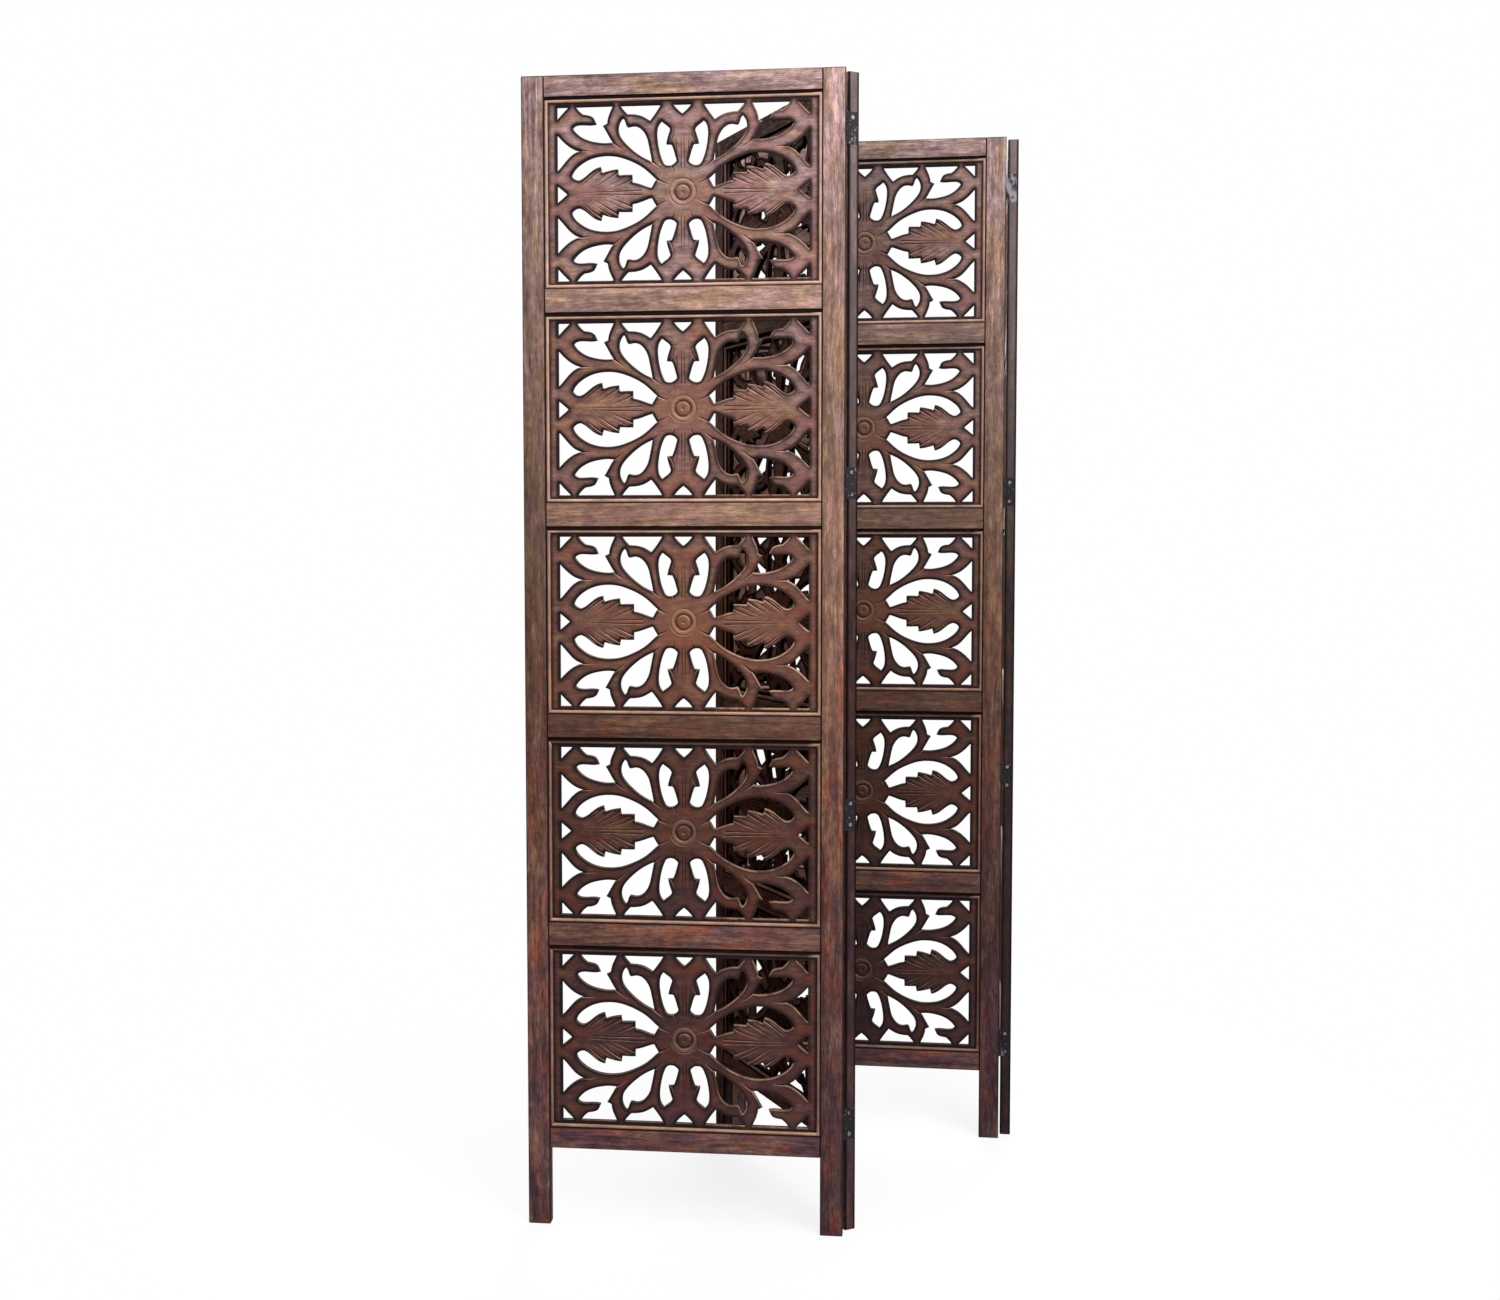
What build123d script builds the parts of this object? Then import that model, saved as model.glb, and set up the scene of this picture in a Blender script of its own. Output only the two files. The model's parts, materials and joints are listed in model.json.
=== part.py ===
"""A four-panel folding screen: joined frames, pierced carved inserts, butt hinges.

Lengths are in millimetres, +Z is up, and the screen stands on Z = 0 about the origin.
Each panel has a frame of its own: u runs along its width from the left stile's outer edge,
w runs through its thickness from the front face to the back face, and z is the height.
"""

from build123d import *
from math import cos, radians, sin
import os

os.makedirs("parts", exist_ok=True)

# The whole screen
panel_count = 4
panel_width = 508.0
panel_height = 1829.0
first_heading = -6.0
fold_angles = [59.0, 57.5, 91.0]

# Frame timbers
frame_thickness = 19.0
stile_width = 36.0
foot_height = 126.0
bottom_rail_height = 34.0
middle_rail_height = 42.0
top_rail_height = 36.0
openings_per_panel = 5
eased_edge = 1.0

# Mortise and tenon joints
tenon_length = 22.0
tenon_thickness = 7.0
tenon_shoulder = 6.0
mortise_end_space = 1.0

# Beads round the openings
bead_width = 6.0
bead_set_back = 1.5
bead_rounding = 2.5

# Carved inserts
insert_thickness = 7.0
insert_clearance = 0.3
fretwork_side_border = 20.0
fretwork_end_border = 12.0
engraving_depth = 1.0
rosette_ring_radius = 17.5
rosette_ring_width = 1.6
rosette_disc_radius = 10.5
rosette_dot_radius = 2.5

# Hinges
lowest_hinge_height = 174.0
top_hinge_drop = 87.0
hinge_shares = [0.0, 0.318, 0.651, 1.0]
hinge_length = 50.0
leaf_thickness = 1.2
leaf_margin = 3.0
gain_clearance = 0.1
pin_radius = 1.3
pin_clearance = 0.05
pin_head_overhang = 0.6
pin_head_height = 0.6
knuckle_count = 5
knuckle_gap = 0.3
knuckle_wall = 1.15
knuckle_clearance = 0.3
edge_gap = 1.0

# Screws
screw_from_leaf_end = 8.0
screw_length = 12.5
screw_radius = 1.5
screw_point_length = 4.0
screw_head_seat = 0.3
screw_head_clearance = 0.1
pilot_clearance = 0.05
slot_width = 0.8
slot_depth = 0.7

# Sizes that follow
middle_rail_count = openings_per_panel - 1
opening_width = panel_width - 2 * stile_width
frame_bars = foot_height + bottom_rail_height + top_rail_height + middle_rail_count * middle_rail_height
opening_height = (panel_height - frame_bars) / openings_per_panel
opening_pitch = opening_height + middle_rail_height
lowest_opening = foot_height + bottom_rail_height
opening_centres = [
    lowest_opening + opening_height / 2 + row * opening_pitch for row in range(openings_per_panel)
]
middle_rail_centres = [
    lowest_opening + opening_height + middle_rail_height / 2 + row * opening_pitch
    for row in range(middle_rail_count)
]
bottom_rail_centre = foot_height + bottom_rail_height / 2
top_rail_centre = panel_height - top_rail_height / 2
insert_face = (frame_thickness - insert_thickness) / 2
bead_thickness = insert_face - bead_set_back
leaf_width = frame_thickness - leaf_margin
knuckle_radius = pin_radius + pin_clearance + knuckle_wall
knuckle_stand_off = knuckle_radius + knuckle_clearance
knuckle_pitch = hinge_length / knuckle_count
pin_from_edge = edge_gap / 2
screw_head_radius = screw_radius + screw_head_seat + leaf_thickness
screw_offsets = [screw_from_leaf_end - hinge_length / 2, hinge_length / 2 - screw_from_leaf_end]
hinge_span = panel_height - top_hinge_drop - lowest_hinge_height
hinge_heights = [lowest_hinge_height + share * hinge_span for share in hinge_shares]

# One quarter of the fretwork, about the middle of an insert. Each opening is a starting point and
# the runs that close it: a run of one point is straight, and a longer one is a smooth curve.
corner_wedge = (
    (198.0, 134.5),
    [[(179.5, 134.5)], [(190.0, 124.0), (198.0, 115.5)], [(198.0, 134.5)]],
)
hourglass = (
    (167.5, 134.5),
    [
        [(109.5, 134.5)],
        [(113.5, 126.0), (117.0, 117.0), (118.5, 108.0)],
        [(125.5, 104.5)],
        [(121.0, 97.0), (116.0, 88.0), (110.5, 79.0)],
        [(122.0, 78.0), (135.0, 79.5), (150.0, 83.5), (162.0, 90.0), (173.0, 102.0)],
        [(169.0, 105.5), (160.0, 107.0), (150.0, 106.5), (141.0, 106.5)],
        [(135.5, 107.5)],
        [(137.5, 112.0), (141.0, 118.0), (147.0, 121.0), (156.0, 122.5)],
        [(161.0, 126.5), (167.5, 134.5)],
    ],
)
top_hook = (
    (97.0, 134.5),
    [
        [(34.0, 134.5)],
        [(38.0, 128.0), (43.5, 120.0), (51.0, 110.5)],
        [(57.0, 114.5), (65.0, 118.5), (76.0, 121.0), (86.0, 121.5)],
        [(90.0, 125.5), (97.0, 134.5)],
    ],
)
teardrop = (
    (94.0, 115.5),
    [
        [(98.0, 110.0), (100.5, 102.0), (99.5, 92.0), (94.5, 83.0), (86.0, 73.5), (76.0, 64.5)]
        + [(64.0, 56.0), (48.5, 48.5)],
        [(50.0, 58.0), (52.5, 70.0), (55.5, 83.0), (60.5, 93.0), (68.0, 100.5), (78.0, 103.0)],
        [(86.0, 101.5)],
        [(89.0, 106.0), (91.0, 112.0), (94.0, 115.5)],
    ],
)
petal_slot = (
    (33.0, 109.5),
    [
        [(38.5, 101.0), (40.0, 88.0), (38.5, 74.0), (35.5, 60.0), (30.0, 46.0)],
        [(24.5, 41.5), (17.0, 42.0), (9.5, 48.5)],
        [(12.0, 58.0), (15.5, 69.0), (17.5, 73.5)],
        [(25.5, 74.0)],
        [(24.0, 82.0), (21.5, 90.0), (19.5, 96.0)],
        [(22.0, 100.5), (27.5, 105.0), (33.0, 109.5)],
    ],
)
side_wedge = (
    (198.0, 91.5),
    [
        [(188.0, 81.0), (178.0, 73.0), (162.5, 66.5)],
        [(176.0, 59.5), (187.0, 48.0), (198.0, 36.0)],
        [(198.0, 91.5)],
    ],
)
crescent = (
    (175.0, 28.5),
    [
        [(171.5, 36.0), (163.0, 44.5), (152.0, 51.5), (138.0, 56.5), (122.0, 58.5), (106.0, 57.5)]
        + [(90.0, 53.0), (75.0, 46.5), (61.0, 38.0), (50.0, 28.5), (41.5, 20.5)],
        [(49.0, 7.5)],
        [(57.0, 10.0), (68.0, 14.0), (79.0, 16.5)],
        [(79.5, 28.5)],
        [(90.0, 28.5), (100.5, 28.0)],
        [(102.0, 37.5)],
        [(113.0, 36.0), (126.5, 32.0)],
        [(129.0, 41.5)],
        [(138.0, 38.5), (148.0, 31.5), (157.0, 24.5), (164.0, 21.5)],
        [(171.0, 24.0), (175.0, 28.5)],
    ],
)
quarter_openings = [
    corner_wedge,
    hourglass,
    top_hook,
    teardrop,
    petal_slot,
    side_wedge,
    crescent,
]

# The openings that lie across an axis of the insert, drawn once and mirrored once.
top_wedge = (
    (14.0, 134.5),
    [[(-14.0, 134.5)], [(-6.0, 125.5), (0.0, 120.5)], [(6.0, 125.5), (14.0, 134.5)]],
)
end_wedge = (
    (198.0, 13.0),
    [[(190.0, 6.5), (182.5, 0.0)], [(190.0, -6.5), (198.0, -13.0)], [(198.0, 13.0)]],
)

drawn_half_width = corner_wedge[0][0]
drawn_half_height = corner_wedge[0][1]
stretch_x = (opening_width / 2 - fretwork_side_border) / drawn_half_width
stretch_y = (opening_height / 2 - fretwork_end_border) / drawn_half_height


# Where the panels stand
def fold_side(fold):
    """1 where a fold's pins are at the back of its panels, -1 where they are at the front."""
    return 1 if fold % 2 == 0 else -1


def pin_depth(fold):
    """The depth w of a fold's pins in the frames of both its panels."""
    if fold_side(fold) > 0:
        return frame_thickness + knuckle_stand_off
    return -knuckle_stand_off


def directions(heading):
    """The directions of u and w in plan, for a panel that heads this way."""
    angle = radians(heading)
    return Vector(cos(angle), sin(angle)), Vector(-sin(angle), cos(angle))


headings = [first_heading]
for fold in range(panel_count - 1):
    headings.append(headings[-1] + fold_side(fold) * (180 - fold_angles[fold]))

chain_corners = [Vector(0, 0)]
for fold in range(panel_count - 1):
    along, through = directions(headings[fold])
    pin = chain_corners[fold] + along * (panel_width + pin_from_edge) + through * pin_depth(fold)
    along, through = directions(headings[fold + 1])
    chain_corners.append(pin + along * pin_from_edge - through * pin_depth(fold))


def eased_outline(panel):
    """The plan corners of a panel, two at each eased edge."""
    along, through = directions(headings[panel])
    points = []
    for u, step_u in ((0, eased_edge), (panel_width, -eased_edge)):
        for w, step_w in ((0, eased_edge), (frame_thickness, -eased_edge)):
            points.append(chain_corners[panel] + along * (u + step_u) + through * w)
            points.append(chain_corners[panel] + along * u + through * (w + step_w))
    return points


outline = [point for panel in range(panel_count) for point in eased_outline(panel)]
middle = Vector(
    (min(point.X for point in outline) + max(point.X for point in outline)) / 2,
    (min(point.Y for point in outline) + max(point.Y for point in outline)) / 2,
)
corners = [corner - middle for corner in chain_corners]


def place(panel, u, w, z):
    """The point at u, w and z of a panel."""
    along, through = directions(headings[panel])
    spot = corners[panel] + along * u + through * w
    return (spot.X, spot.Y, z)


def plan_plane(panel):
    """The floor plane, with x along u and y along w."""
    along, _ = directions(headings[panel])
    return Plane(origin=place(panel, 0, 0, 0), x_dir=along, z_dir=(0, 0, 1))


def front_plane(panel, u, w, z):
    """A plane that faces the front, with x along u and y up."""
    along, through = directions(headings[panel])
    return Plane(origin=place(panel, u, w, z), x_dir=along, z_dir=-through)


def edge_plane(panel, u):
    """A plane that faces along u, with x along w and y up."""
    along, through = directions(headings[panel])
    return Plane(origin=place(panel, u, 0, 0), x_dir=through, z_dir=along)


def opening_plane(panel, row):
    """The plane of the frame's front face, with its origin in the middle of an opening."""
    return front_plane(panel, panel_width / 2, 0, opening_centres[row])


def pin_plane(fold, owner, height):
    """A plane across a fold's pin, with x along u of the owner and y from the wood to the pin."""
    along, _ = directions(headings[owner])
    edge_u = panel_width + pin_from_edge if owner == fold else -pin_from_edge
    origin = place(owner, edge_u, pin_depth(fold), height)
    return Plane(origin=origin, x_dir=along, z_dir=(0, 0, fold_side(fold)))


def leaf_hand(fold, owner):
    """-1 for the leaves of the panel on the left of a fold, and 1 for those on the right."""
    return -1 if owner == fold else 1


def save(part, name):
    part.label = name
    export_step(part, f"parts/{name}.step")


# Frame
mortise_heights = [(bottom_rail_centre, bottom_rail_height), (top_rail_centre, top_rail_height)]
mortise_heights += [(centre, middle_rail_height) for centre in middle_rail_centres]


def leaf_middle(fold):
    """The depth w of the middle of the hinge leaves in the edge of a stile."""
    if fold_side(fold) > 0:
        return frame_thickness - leaf_width / 2
    return leaf_width / 2


def make_stile(panel, hand, fold):
    """hand is -1 for a left stile and 1 for a right one; fold is None on a free outer edge."""
    outer = 0 if hand < 0 else panel_width
    inner = outer - hand * stile_width
    with BuildPart() as stile:
        with BuildSketch(plan_plane(panel)) as section:
            with Locations(((outer + inner) / 2, frame_thickness / 2)):
                Rectangle(stile_width, frame_thickness)
            outer_corners = section.vertices().sort_by(Axis.X, reverse=hand > 0)[:2]
            chamfer(outer_corners, length=eased_edge)
        extrude(amount=panel_height)
        with BuildSketch(edge_plane(panel, inner)):
            for centre, height in mortise_heights:
                with Locations((frame_thickness / 2, centre)):
                    Rectangle(tenon_thickness, height - 2 * tenon_shoulder)
        extrude(amount=hand * (tenon_length + mortise_end_space), mode=Mode.SUBTRACT)
        if fold is not None:
            middle_w = leaf_middle(fold)
            with BuildSketch(edge_plane(panel, outer)):
                with Locations(*[(middle_w, height) for height in hinge_heights]):
                    Rectangle(leaf_width + 2 * gain_clearance, hinge_length + 2 * gain_clearance)
            extrude(amount=-hand * leaf_thickness, mode=Mode.SUBTRACT)
            with BuildSketch(edge_plane(panel, outer)):
                for offset in screw_offsets:
                    with Locations(*[(middle_w, height + offset) for height in hinge_heights]):
                        Circle(screw_radius + pilot_clearance)
            extrude(amount=-hand * (screw_length + pilot_clearance), mode=Mode.SUBTRACT)
    return stile.part


def make_rails(panel, centres, height):
    shoulder_w = (frame_thickness - tenon_thickness) / 2
    with BuildPart() as rails:
        with BuildSketch(front_plane(panel, panel_width / 2, 0, 0)):
            with Locations(*[(0, centre) for centre in centres]):
                Rectangle(opening_width, height)
        extrude(amount=-frame_thickness)
        with BuildSketch(front_plane(panel, panel_width / 2, shoulder_w, 0)):
            with Locations(*[(0, centre) for centre in centres]):
                Rectangle(opening_width + 2 * tenon_length, height - 2 * tenon_shoulder)
        extrude(amount=-tenon_thickness)
    return rails.part


# Beads, drawn about the middle of an opening, with the frame's front face at z = 0
def make_bead_strip(face, turn):
    """One mitred strip of an opening; face is 1 at the front and -1 at the back."""
    exposed_z = -bead_set_back if face > 0 else bead_set_back - frame_thickness
    along_width = turn % 2 == 0
    half_run = (opening_width if along_width else opening_height) / 2
    reach = (opening_height if along_width else opening_width) / 2
    with BuildPart() as strip:
        with BuildSketch(Plane.XY.offset(exposed_z)):
            Polygon(
                (-half_run, -reach),
                (half_run, -reach),
                (half_run - bead_width, bead_width - reach),
                (bead_width - half_run, bead_width - reach),
                rotation=90 * turn,
            )
        extrude(amount=-face * bead_thickness)
        inner_edge = strip.edges().sort_by_distance((0, 0, exposed_z))[0]
        fillet(inner_edge, radius=bead_rounding)
    return strip.solid()


bead_strips = [make_bead_strip(face, turn) for face in (1, -1) for turn in range(4)]


def make_beading(panel):
    """The strips of a panel, which meet face to face at their mitres and stay separate."""
    openings = [opening_plane(panel, row).location for row in range(openings_per_panel)]
    return Compound([strip.moved(opening) for opening in openings for strip in bead_strips])


# The carved insert, drawn about the middle of an opening, with the frame's front face at z = 0
def opening_face(start, runs):
    with BuildSketch() as opening:
        with BuildLine():
            for run in runs:
                points = [(x * stretch_x, y * stretch_y) for x, y in [start] + run]
                if len(run) == 1:
                    Line(*points)
                else:
                    Spline(*points)
                start = run[-1]
        make_face()
    return opening.sketch


with BuildSketch() as end_openings:
    add(opening_face(*end_wedge))
    mirror(about=Plane.YZ)

with BuildSketch() as fretwork:
    for start, runs in quarter_openings:
        add(opening_face(start, runs))
    mirror(about=Plane.YZ)
    add(opening_face(*top_wedge))
    mirror(about=Plane.XZ)
    add(end_openings.sketch)

board_front = Plane.XY.offset(-insert_face)
board_back = board_front.offset(-insert_thickness)

with BuildPart() as board:
    with BuildSketch(board_front):
        Rectangle(opening_width - 2 * insert_clearance, opening_height - 2 * insert_clearance)
        add(fretwork.sketch, mode=Mode.SUBTRACT)
    extrude(amount=-insert_thickness)
    for carved_face, inward in ((board_front, -1), (board_back, 1)):
        with BuildSketch(carved_face):
            Circle(rosette_ring_radius)
            Circle(rosette_ring_radius - rosette_ring_width, mode=Mode.SUBTRACT)
            Circle(rosette_disc_radius)
            Circle(rosette_disc_radius - rosette_ring_width, mode=Mode.SUBTRACT)
            Circle(rosette_dot_radius)
        extrude(amount=inward * engraving_depth, mode=Mode.SUBTRACT)


def make_insert(panel, row):
    with BuildPart() as insert:
        with Locations(opening_plane(panel, row)):
            add(board.part)
    return insert.part


# Hinge leaves, drawn about the pin, with the wood on the side of negative y
def make_leaf(hand):
    plate_x = hand * (pin_from_edge + leaf_thickness / 2)
    first_knuckle = 0 if hand < 0 else 1
    with BuildPart() as leaf:
        with BuildSketch(Plane.XY.offset(-hinge_length / 2)):
            with Locations((plate_x, -knuckle_stand_off - leaf_width / 2)):
                Rectangle(leaf_thickness, leaf_width)
        extrude(amount=hinge_length)
        for knuckle in range(first_knuckle, knuckle_count, 2):
            bottom = knuckle * knuckle_pitch + knuckle_gap / 2 - hinge_length / 2
            with BuildSketch(Plane.XY.offset(bottom)):
                with Locations((plate_x, -knuckle_stand_off / 2)):
                    Rectangle(leaf_thickness, knuckle_stand_off)
                Circle(knuckle_radius)
                Circle(pin_radius + pin_clearance, mode=Mode.SUBTRACT)
            extrude(amount=knuckle_pitch - knuckle_gap)
        with Locations(*[leaf_screw_plane(hand, offset) for offset in screw_offsets]):
            CounterSinkHole(
                radius=screw_radius + screw_head_clearance,
                counter_sink_radius=screw_head_radius + screw_head_clearance,
                depth=2 * leaf_thickness,
                counter_sink_angle=90,
            )
    return leaf.part


def leaf_screw_plane(hand, offset):
    """The exposed face of a leaf at a screw, facing out of the wood."""
    middle_y = -knuckle_stand_off - leaf_width / 2
    return Plane(
        origin=(hand * pin_from_edge, middle_y, offset),
        x_dir=(0, 1, 0),
        z_dir=(-hand, 0, 0),
    )


leaf_shapes = {hand: make_leaf(hand) for hand in (-1, 1)}


def make_leaves(fold, owner):
    with BuildPart() as leaves:
        with Locations(*[pin_plane(fold, owner, height) for height in hinge_heights]):
            add(leaf_shapes[leaf_hand(fold, owner)])
    return leaves.part


def make_pins(fold):
    with BuildPart() as pins:
        for height in hinge_heights:
            plane = pin_plane(fold, fold, height)
            with BuildSketch(plane.offset(-hinge_length / 2)):
                Circle(pin_radius)
            extrude(amount=hinge_length)
            for end in (-1, 1):
                with BuildSketch(plane.offset(end * hinge_length / 2)):
                    Circle(pin_radius + pin_head_overhang)
                extrude(amount=end * pin_head_height)
    return pins.part


# One wood screw, with the middle of its head at the origin and its point down
with BuildPart() as screw:
    with BuildSketch(Plane.XZ):
        with BuildLine():
            Polyline(
                (0, 0),
                (screw_head_radius, 0),
                (screw_head_radius - leaf_thickness, -leaf_thickness),
                (screw_radius, -leaf_thickness),
                (screw_radius, screw_point_length - screw_length),
                (0, -screw_length),
                close=True,
            )
        make_face()
    revolve(axis=Axis.Z)
    with BuildSketch():
        Rectangle(2 * screw_head_radius, slot_width)
        Rectangle(slot_width, 2 * screw_head_radius)
    extrude(amount=-slot_depth, mode=Mode.SUBTRACT)


def make_screws(fold, owner):
    hand = leaf_hand(fold, owner)
    with BuildPart() as screws:
        with Locations(*[pin_plane(fold, owner, height) for height in hinge_heights]):
            with Locations(*[leaf_screw_plane(hand, offset) for offset in screw_offsets]):
                add(screw.part)
    return screws.part


# The panels
for panel in range(panel_count):
    name = f"panel_{panel + 1}"
    left_fold = panel - 1 if panel > 0 else None
    right_fold = panel if panel < panel_count - 1 else None
    save(make_stile(panel, -1, left_fold), f"{name}_left_stile")
    save(make_stile(panel, 1, right_fold), f"{name}_right_stile")
    save(make_rails(panel, [bottom_rail_centre], bottom_rail_height), f"{name}_bottom_rail")
    save(make_rails(panel, middle_rail_centres, middle_rail_height), f"{name}_middle_rails")
    save(make_rails(panel, [top_rail_centre], top_rail_height), f"{name}_top_rail")
    save(make_beading(panel), f"{name}_beading")
    for row in range(openings_per_panel):
        save(make_insert(panel, row), f"{name}_jali_{row + 1}")

# The hinges of each fold
for fold in range(panel_count - 1):
    name = f"fold_{fold + 1}"
    save(make_pins(fold), f"{name}_hinge_pins")
    for side, owner in (("left", fold), ("right", fold + 1)):
        save(make_leaves(fold, owner), f"{name}_{side}_hinge_leaves")
        save(make_screws(fold, owner), f"{name}_{side}_hinge_screws")
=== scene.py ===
"""Folding carved screen: eased timbers, moulded beads, carved fretwork, hinges and a plain stage."""

import json
from math import cos, pi, radians, sin

import bmesh
import bpy
from mathutils import Matrix, Vector, noise
from mathutils.bvhtree import BVHTree
from mathutils.geometry import delaunay_2d_cdt, interpolate_bezier

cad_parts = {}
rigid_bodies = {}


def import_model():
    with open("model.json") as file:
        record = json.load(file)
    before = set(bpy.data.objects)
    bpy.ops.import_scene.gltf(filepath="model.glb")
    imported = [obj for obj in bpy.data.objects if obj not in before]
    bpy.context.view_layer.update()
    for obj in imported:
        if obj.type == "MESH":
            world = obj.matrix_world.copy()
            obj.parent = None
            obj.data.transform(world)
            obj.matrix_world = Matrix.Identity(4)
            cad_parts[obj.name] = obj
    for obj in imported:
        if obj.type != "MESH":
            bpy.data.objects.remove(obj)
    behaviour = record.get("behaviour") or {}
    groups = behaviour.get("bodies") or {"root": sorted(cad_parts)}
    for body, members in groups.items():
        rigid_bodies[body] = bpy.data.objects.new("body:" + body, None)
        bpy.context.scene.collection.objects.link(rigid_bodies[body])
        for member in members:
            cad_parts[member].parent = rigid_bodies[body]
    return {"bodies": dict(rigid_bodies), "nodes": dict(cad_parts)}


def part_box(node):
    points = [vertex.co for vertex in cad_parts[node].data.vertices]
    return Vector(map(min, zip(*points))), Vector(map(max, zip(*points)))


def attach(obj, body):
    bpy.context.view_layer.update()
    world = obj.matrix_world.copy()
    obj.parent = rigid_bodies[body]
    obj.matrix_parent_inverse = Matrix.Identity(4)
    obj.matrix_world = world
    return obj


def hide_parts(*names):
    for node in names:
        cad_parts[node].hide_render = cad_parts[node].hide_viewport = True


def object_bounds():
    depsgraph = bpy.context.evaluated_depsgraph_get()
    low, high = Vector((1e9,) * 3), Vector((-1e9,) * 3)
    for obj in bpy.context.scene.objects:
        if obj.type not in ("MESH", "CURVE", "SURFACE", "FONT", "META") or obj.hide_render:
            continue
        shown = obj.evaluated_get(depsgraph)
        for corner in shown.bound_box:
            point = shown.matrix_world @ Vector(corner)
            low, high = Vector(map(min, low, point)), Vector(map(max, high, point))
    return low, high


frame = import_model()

bl_info = {
    "name": "Carved Folding Screen",
    "version": (1, 0, 0),
    "blender": (4, 5, 0),
    "location": "3D View > Sidebar > Screen",
    "description": "Builds the looks of a four-panel carved screen round its packed frame",
    "category": "Add Mesh",
}

MM = 0.001
# Points nearer than these are taken as touching, and are merged
TOUCHING = 0.01 * MM
MERGING = 0.001 * MM
# A normal's share along an axis: at least the first on a flat face, and less than the second on
# an eased edge
SQUARE_ON = 0.99
EASED = 0.98
TIMBER_CREASE = radians(50)
BEAD_CREASE = radians(40)
UP = Vector((0, 0, 1))
CAD_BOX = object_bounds()
TOP = CAD_BOX[1][2]
NODES = frame["nodes"]
PANELS = sorted(frame["bodies"])
ROWS = sorted({int(name.rsplit("_", 1)[1]) for name in NODES if "_jali_" in name})


def clamped(value):
    """The value, kept between 0 and 1."""
    return min(1.0, max(0.0, value))


def on_section(section, place):
    """The value at a place, from pairs of a place and its value."""
    for (start, first), (end, last) in zip(section, section[1:]):
        if place <= end:
            return first + (last - first) * (place - start) / (end - start)
    return section[-1][1]


# Places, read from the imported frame. A panel's own axes are x along its width from the middle,
# y through its thickness from the middle to the back, and z up from the floor.
def node_middle(name):
    """The middle of a node's box in the frame."""
    low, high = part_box(name)
    return (Vector(low) + Vector(high)) / 2


def panel_place(panel):
    """The matrix from a panel's own axes to the frame."""
    faces = NODES[f"{panel}_top_rail"].data.polygons
    upright = [face for face in faces if abs(face.normal.z) < 0.01]
    through = max(upright, key=lambda face: face.area).normal.normalized()
    along = Vector((through.y, -through.x, 0))
    if along.dot(node_middle(f"{panel}_right_stile") - node_middle(f"{panel}_left_stile")) < 0:
        along, through = -along, -through
    middle = node_middle(f"{panel}_top_rail")
    columns = (along, through, UP, Vector((middle.x, middle.y, 0)))
    return Matrix([[*(column[row] for column in columns)] for row in range(3)] + [[0, 0, 0, 1]])


def node_span(name, place):
    """The lowest and highest corners of a node in a panel's own axes."""
    back = place.inverted()
    points = [back @ vertex.co for vertex in NODES[name].data.vertices]
    low = Vector([min(point[axis] for point in points) for axis in range(3)])
    high = Vector([max(point[axis] for point in points) for axis in range(3)])
    return low, high


PLACES = {panel: panel_place(panel) for panel in PANELS}
FIRST = PANELS[0]
FIRST_PLACE = PLACES[FIRST]
BOARD_LOW, BOARD_HIGH = node_span(f"{FIRST}_jali_1", FIRST_PLACE)
BOARD_HALF = (BOARD_HIGH - BOARD_LOW) / 2
PANEL_CORNER = node_span(f"{FIRST}_left_stile", FIRST_PLACE)[1]
HALF_DEPTH = PANEL_CORNER.y
HALF_OPENING = node_span(f"{FIRST}_beading", FIRST_PLACE)[1].x
OPENING_CLEARANCE = HALF_OPENING - BOARD_HALF.x
HALF_HEIGHT = BOARD_HALF.z + OPENING_CLEARANCE

# How light the wood is painted, about 1: of each panel, of the boards in each row from the floor,
# and of single timbers, where five values are for heights evenly spaced from the floor to the top.
# Rails are counted upwards from 0. This is partly the wood's own tone and partly painted shade,
# which makes the second and third panels darker, as they stand in the fold's shade and behind
# the first. The boards are also darker towards the floor.
PANEL_SHADES = {"panel_1": 1.0, "panel_2": 0.55, "panel_3": 0.6, "panel_4": 0.7}
ROW_SHADES = (0.57, 0.56, 0.76, 0.88, 0.94)
TIMBER_SHADES = {
    "panel_1_left_stile": (0.98, 1.12, 0.5, 0.68, 0.75),
    "panel_1_right_stile": (0.72, 0.74, 1.12, 0.88, 0.94),
    "panel_1_middle_rails_0": (0.95,),
    "panel_1_middle_rails_1": (0.62,),
    "panel_1_middle_rails_2": (1.05,),
    "panel_1_middle_rails_3": (1.0,),
    "panel_2_left_stile": (3.1, 2.0, 1.8, 1.35, 1.15),
    "panel_2_right_stile": (1.0, 1.0, 0.9, 0.75, 0.55),
    "panel_2_middle_rails_3": (0.75,),
    "panel_2_top_rail": (0.6,),
    "panel_3_middle_rails_1": (0.6,),
    "panel_3_middle_rails_2": (0.75,),
    "panel_3_middle_rails_3": (0.85,),
    "panel_3_right_stile": (0.85, 0.9, 1.0, 1.05, 1.25),
}
SHADE_HEIGHTS = [PANEL_CORNER.z * share for share in (0.0, 0.25, 0.5, 0.75, 1.0)]
# How light a panel's boards are painted at their middle and at their right end; the darker middle
# and left half are a painted shadow that the first panel casts on the third
BOARD_SHADOW_FADES = {"panel_3": (0.78, 1.32)}
# How strong the painted highlight is on the rims of the boards' right halves, in each row from the
# floor, and how far right of the middle that starts and how fast it grows, as shares of half an
# opening
RIM_HIGHLIGHTS = {"panel_1": (0.65, 0.75, 0.72, 0.35, 0.35)}
HIGHLIGHT_START = 0.1
HIGHLIGHT_GROWTH = 4
# The panels whose wax has dried out, the fold whose hinges are rubbed most, and the low rows,
# where painted shade dims the ridges of the beads
MATT_PANELS = ("panel_2",)
BARE_FOLD = "fold_3"
LOW_ROWS = ROWS[:2]


def grain_offset(name):
    """A place in the wood for each piece, so that no two have the same figure."""
    number = sum((place + 1) * ord(letter) for place, letter in enumerate(name))
    return Vector((number * 0.37 % 11, number * 0.73 % 7, number * 0.19 % 5))


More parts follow.
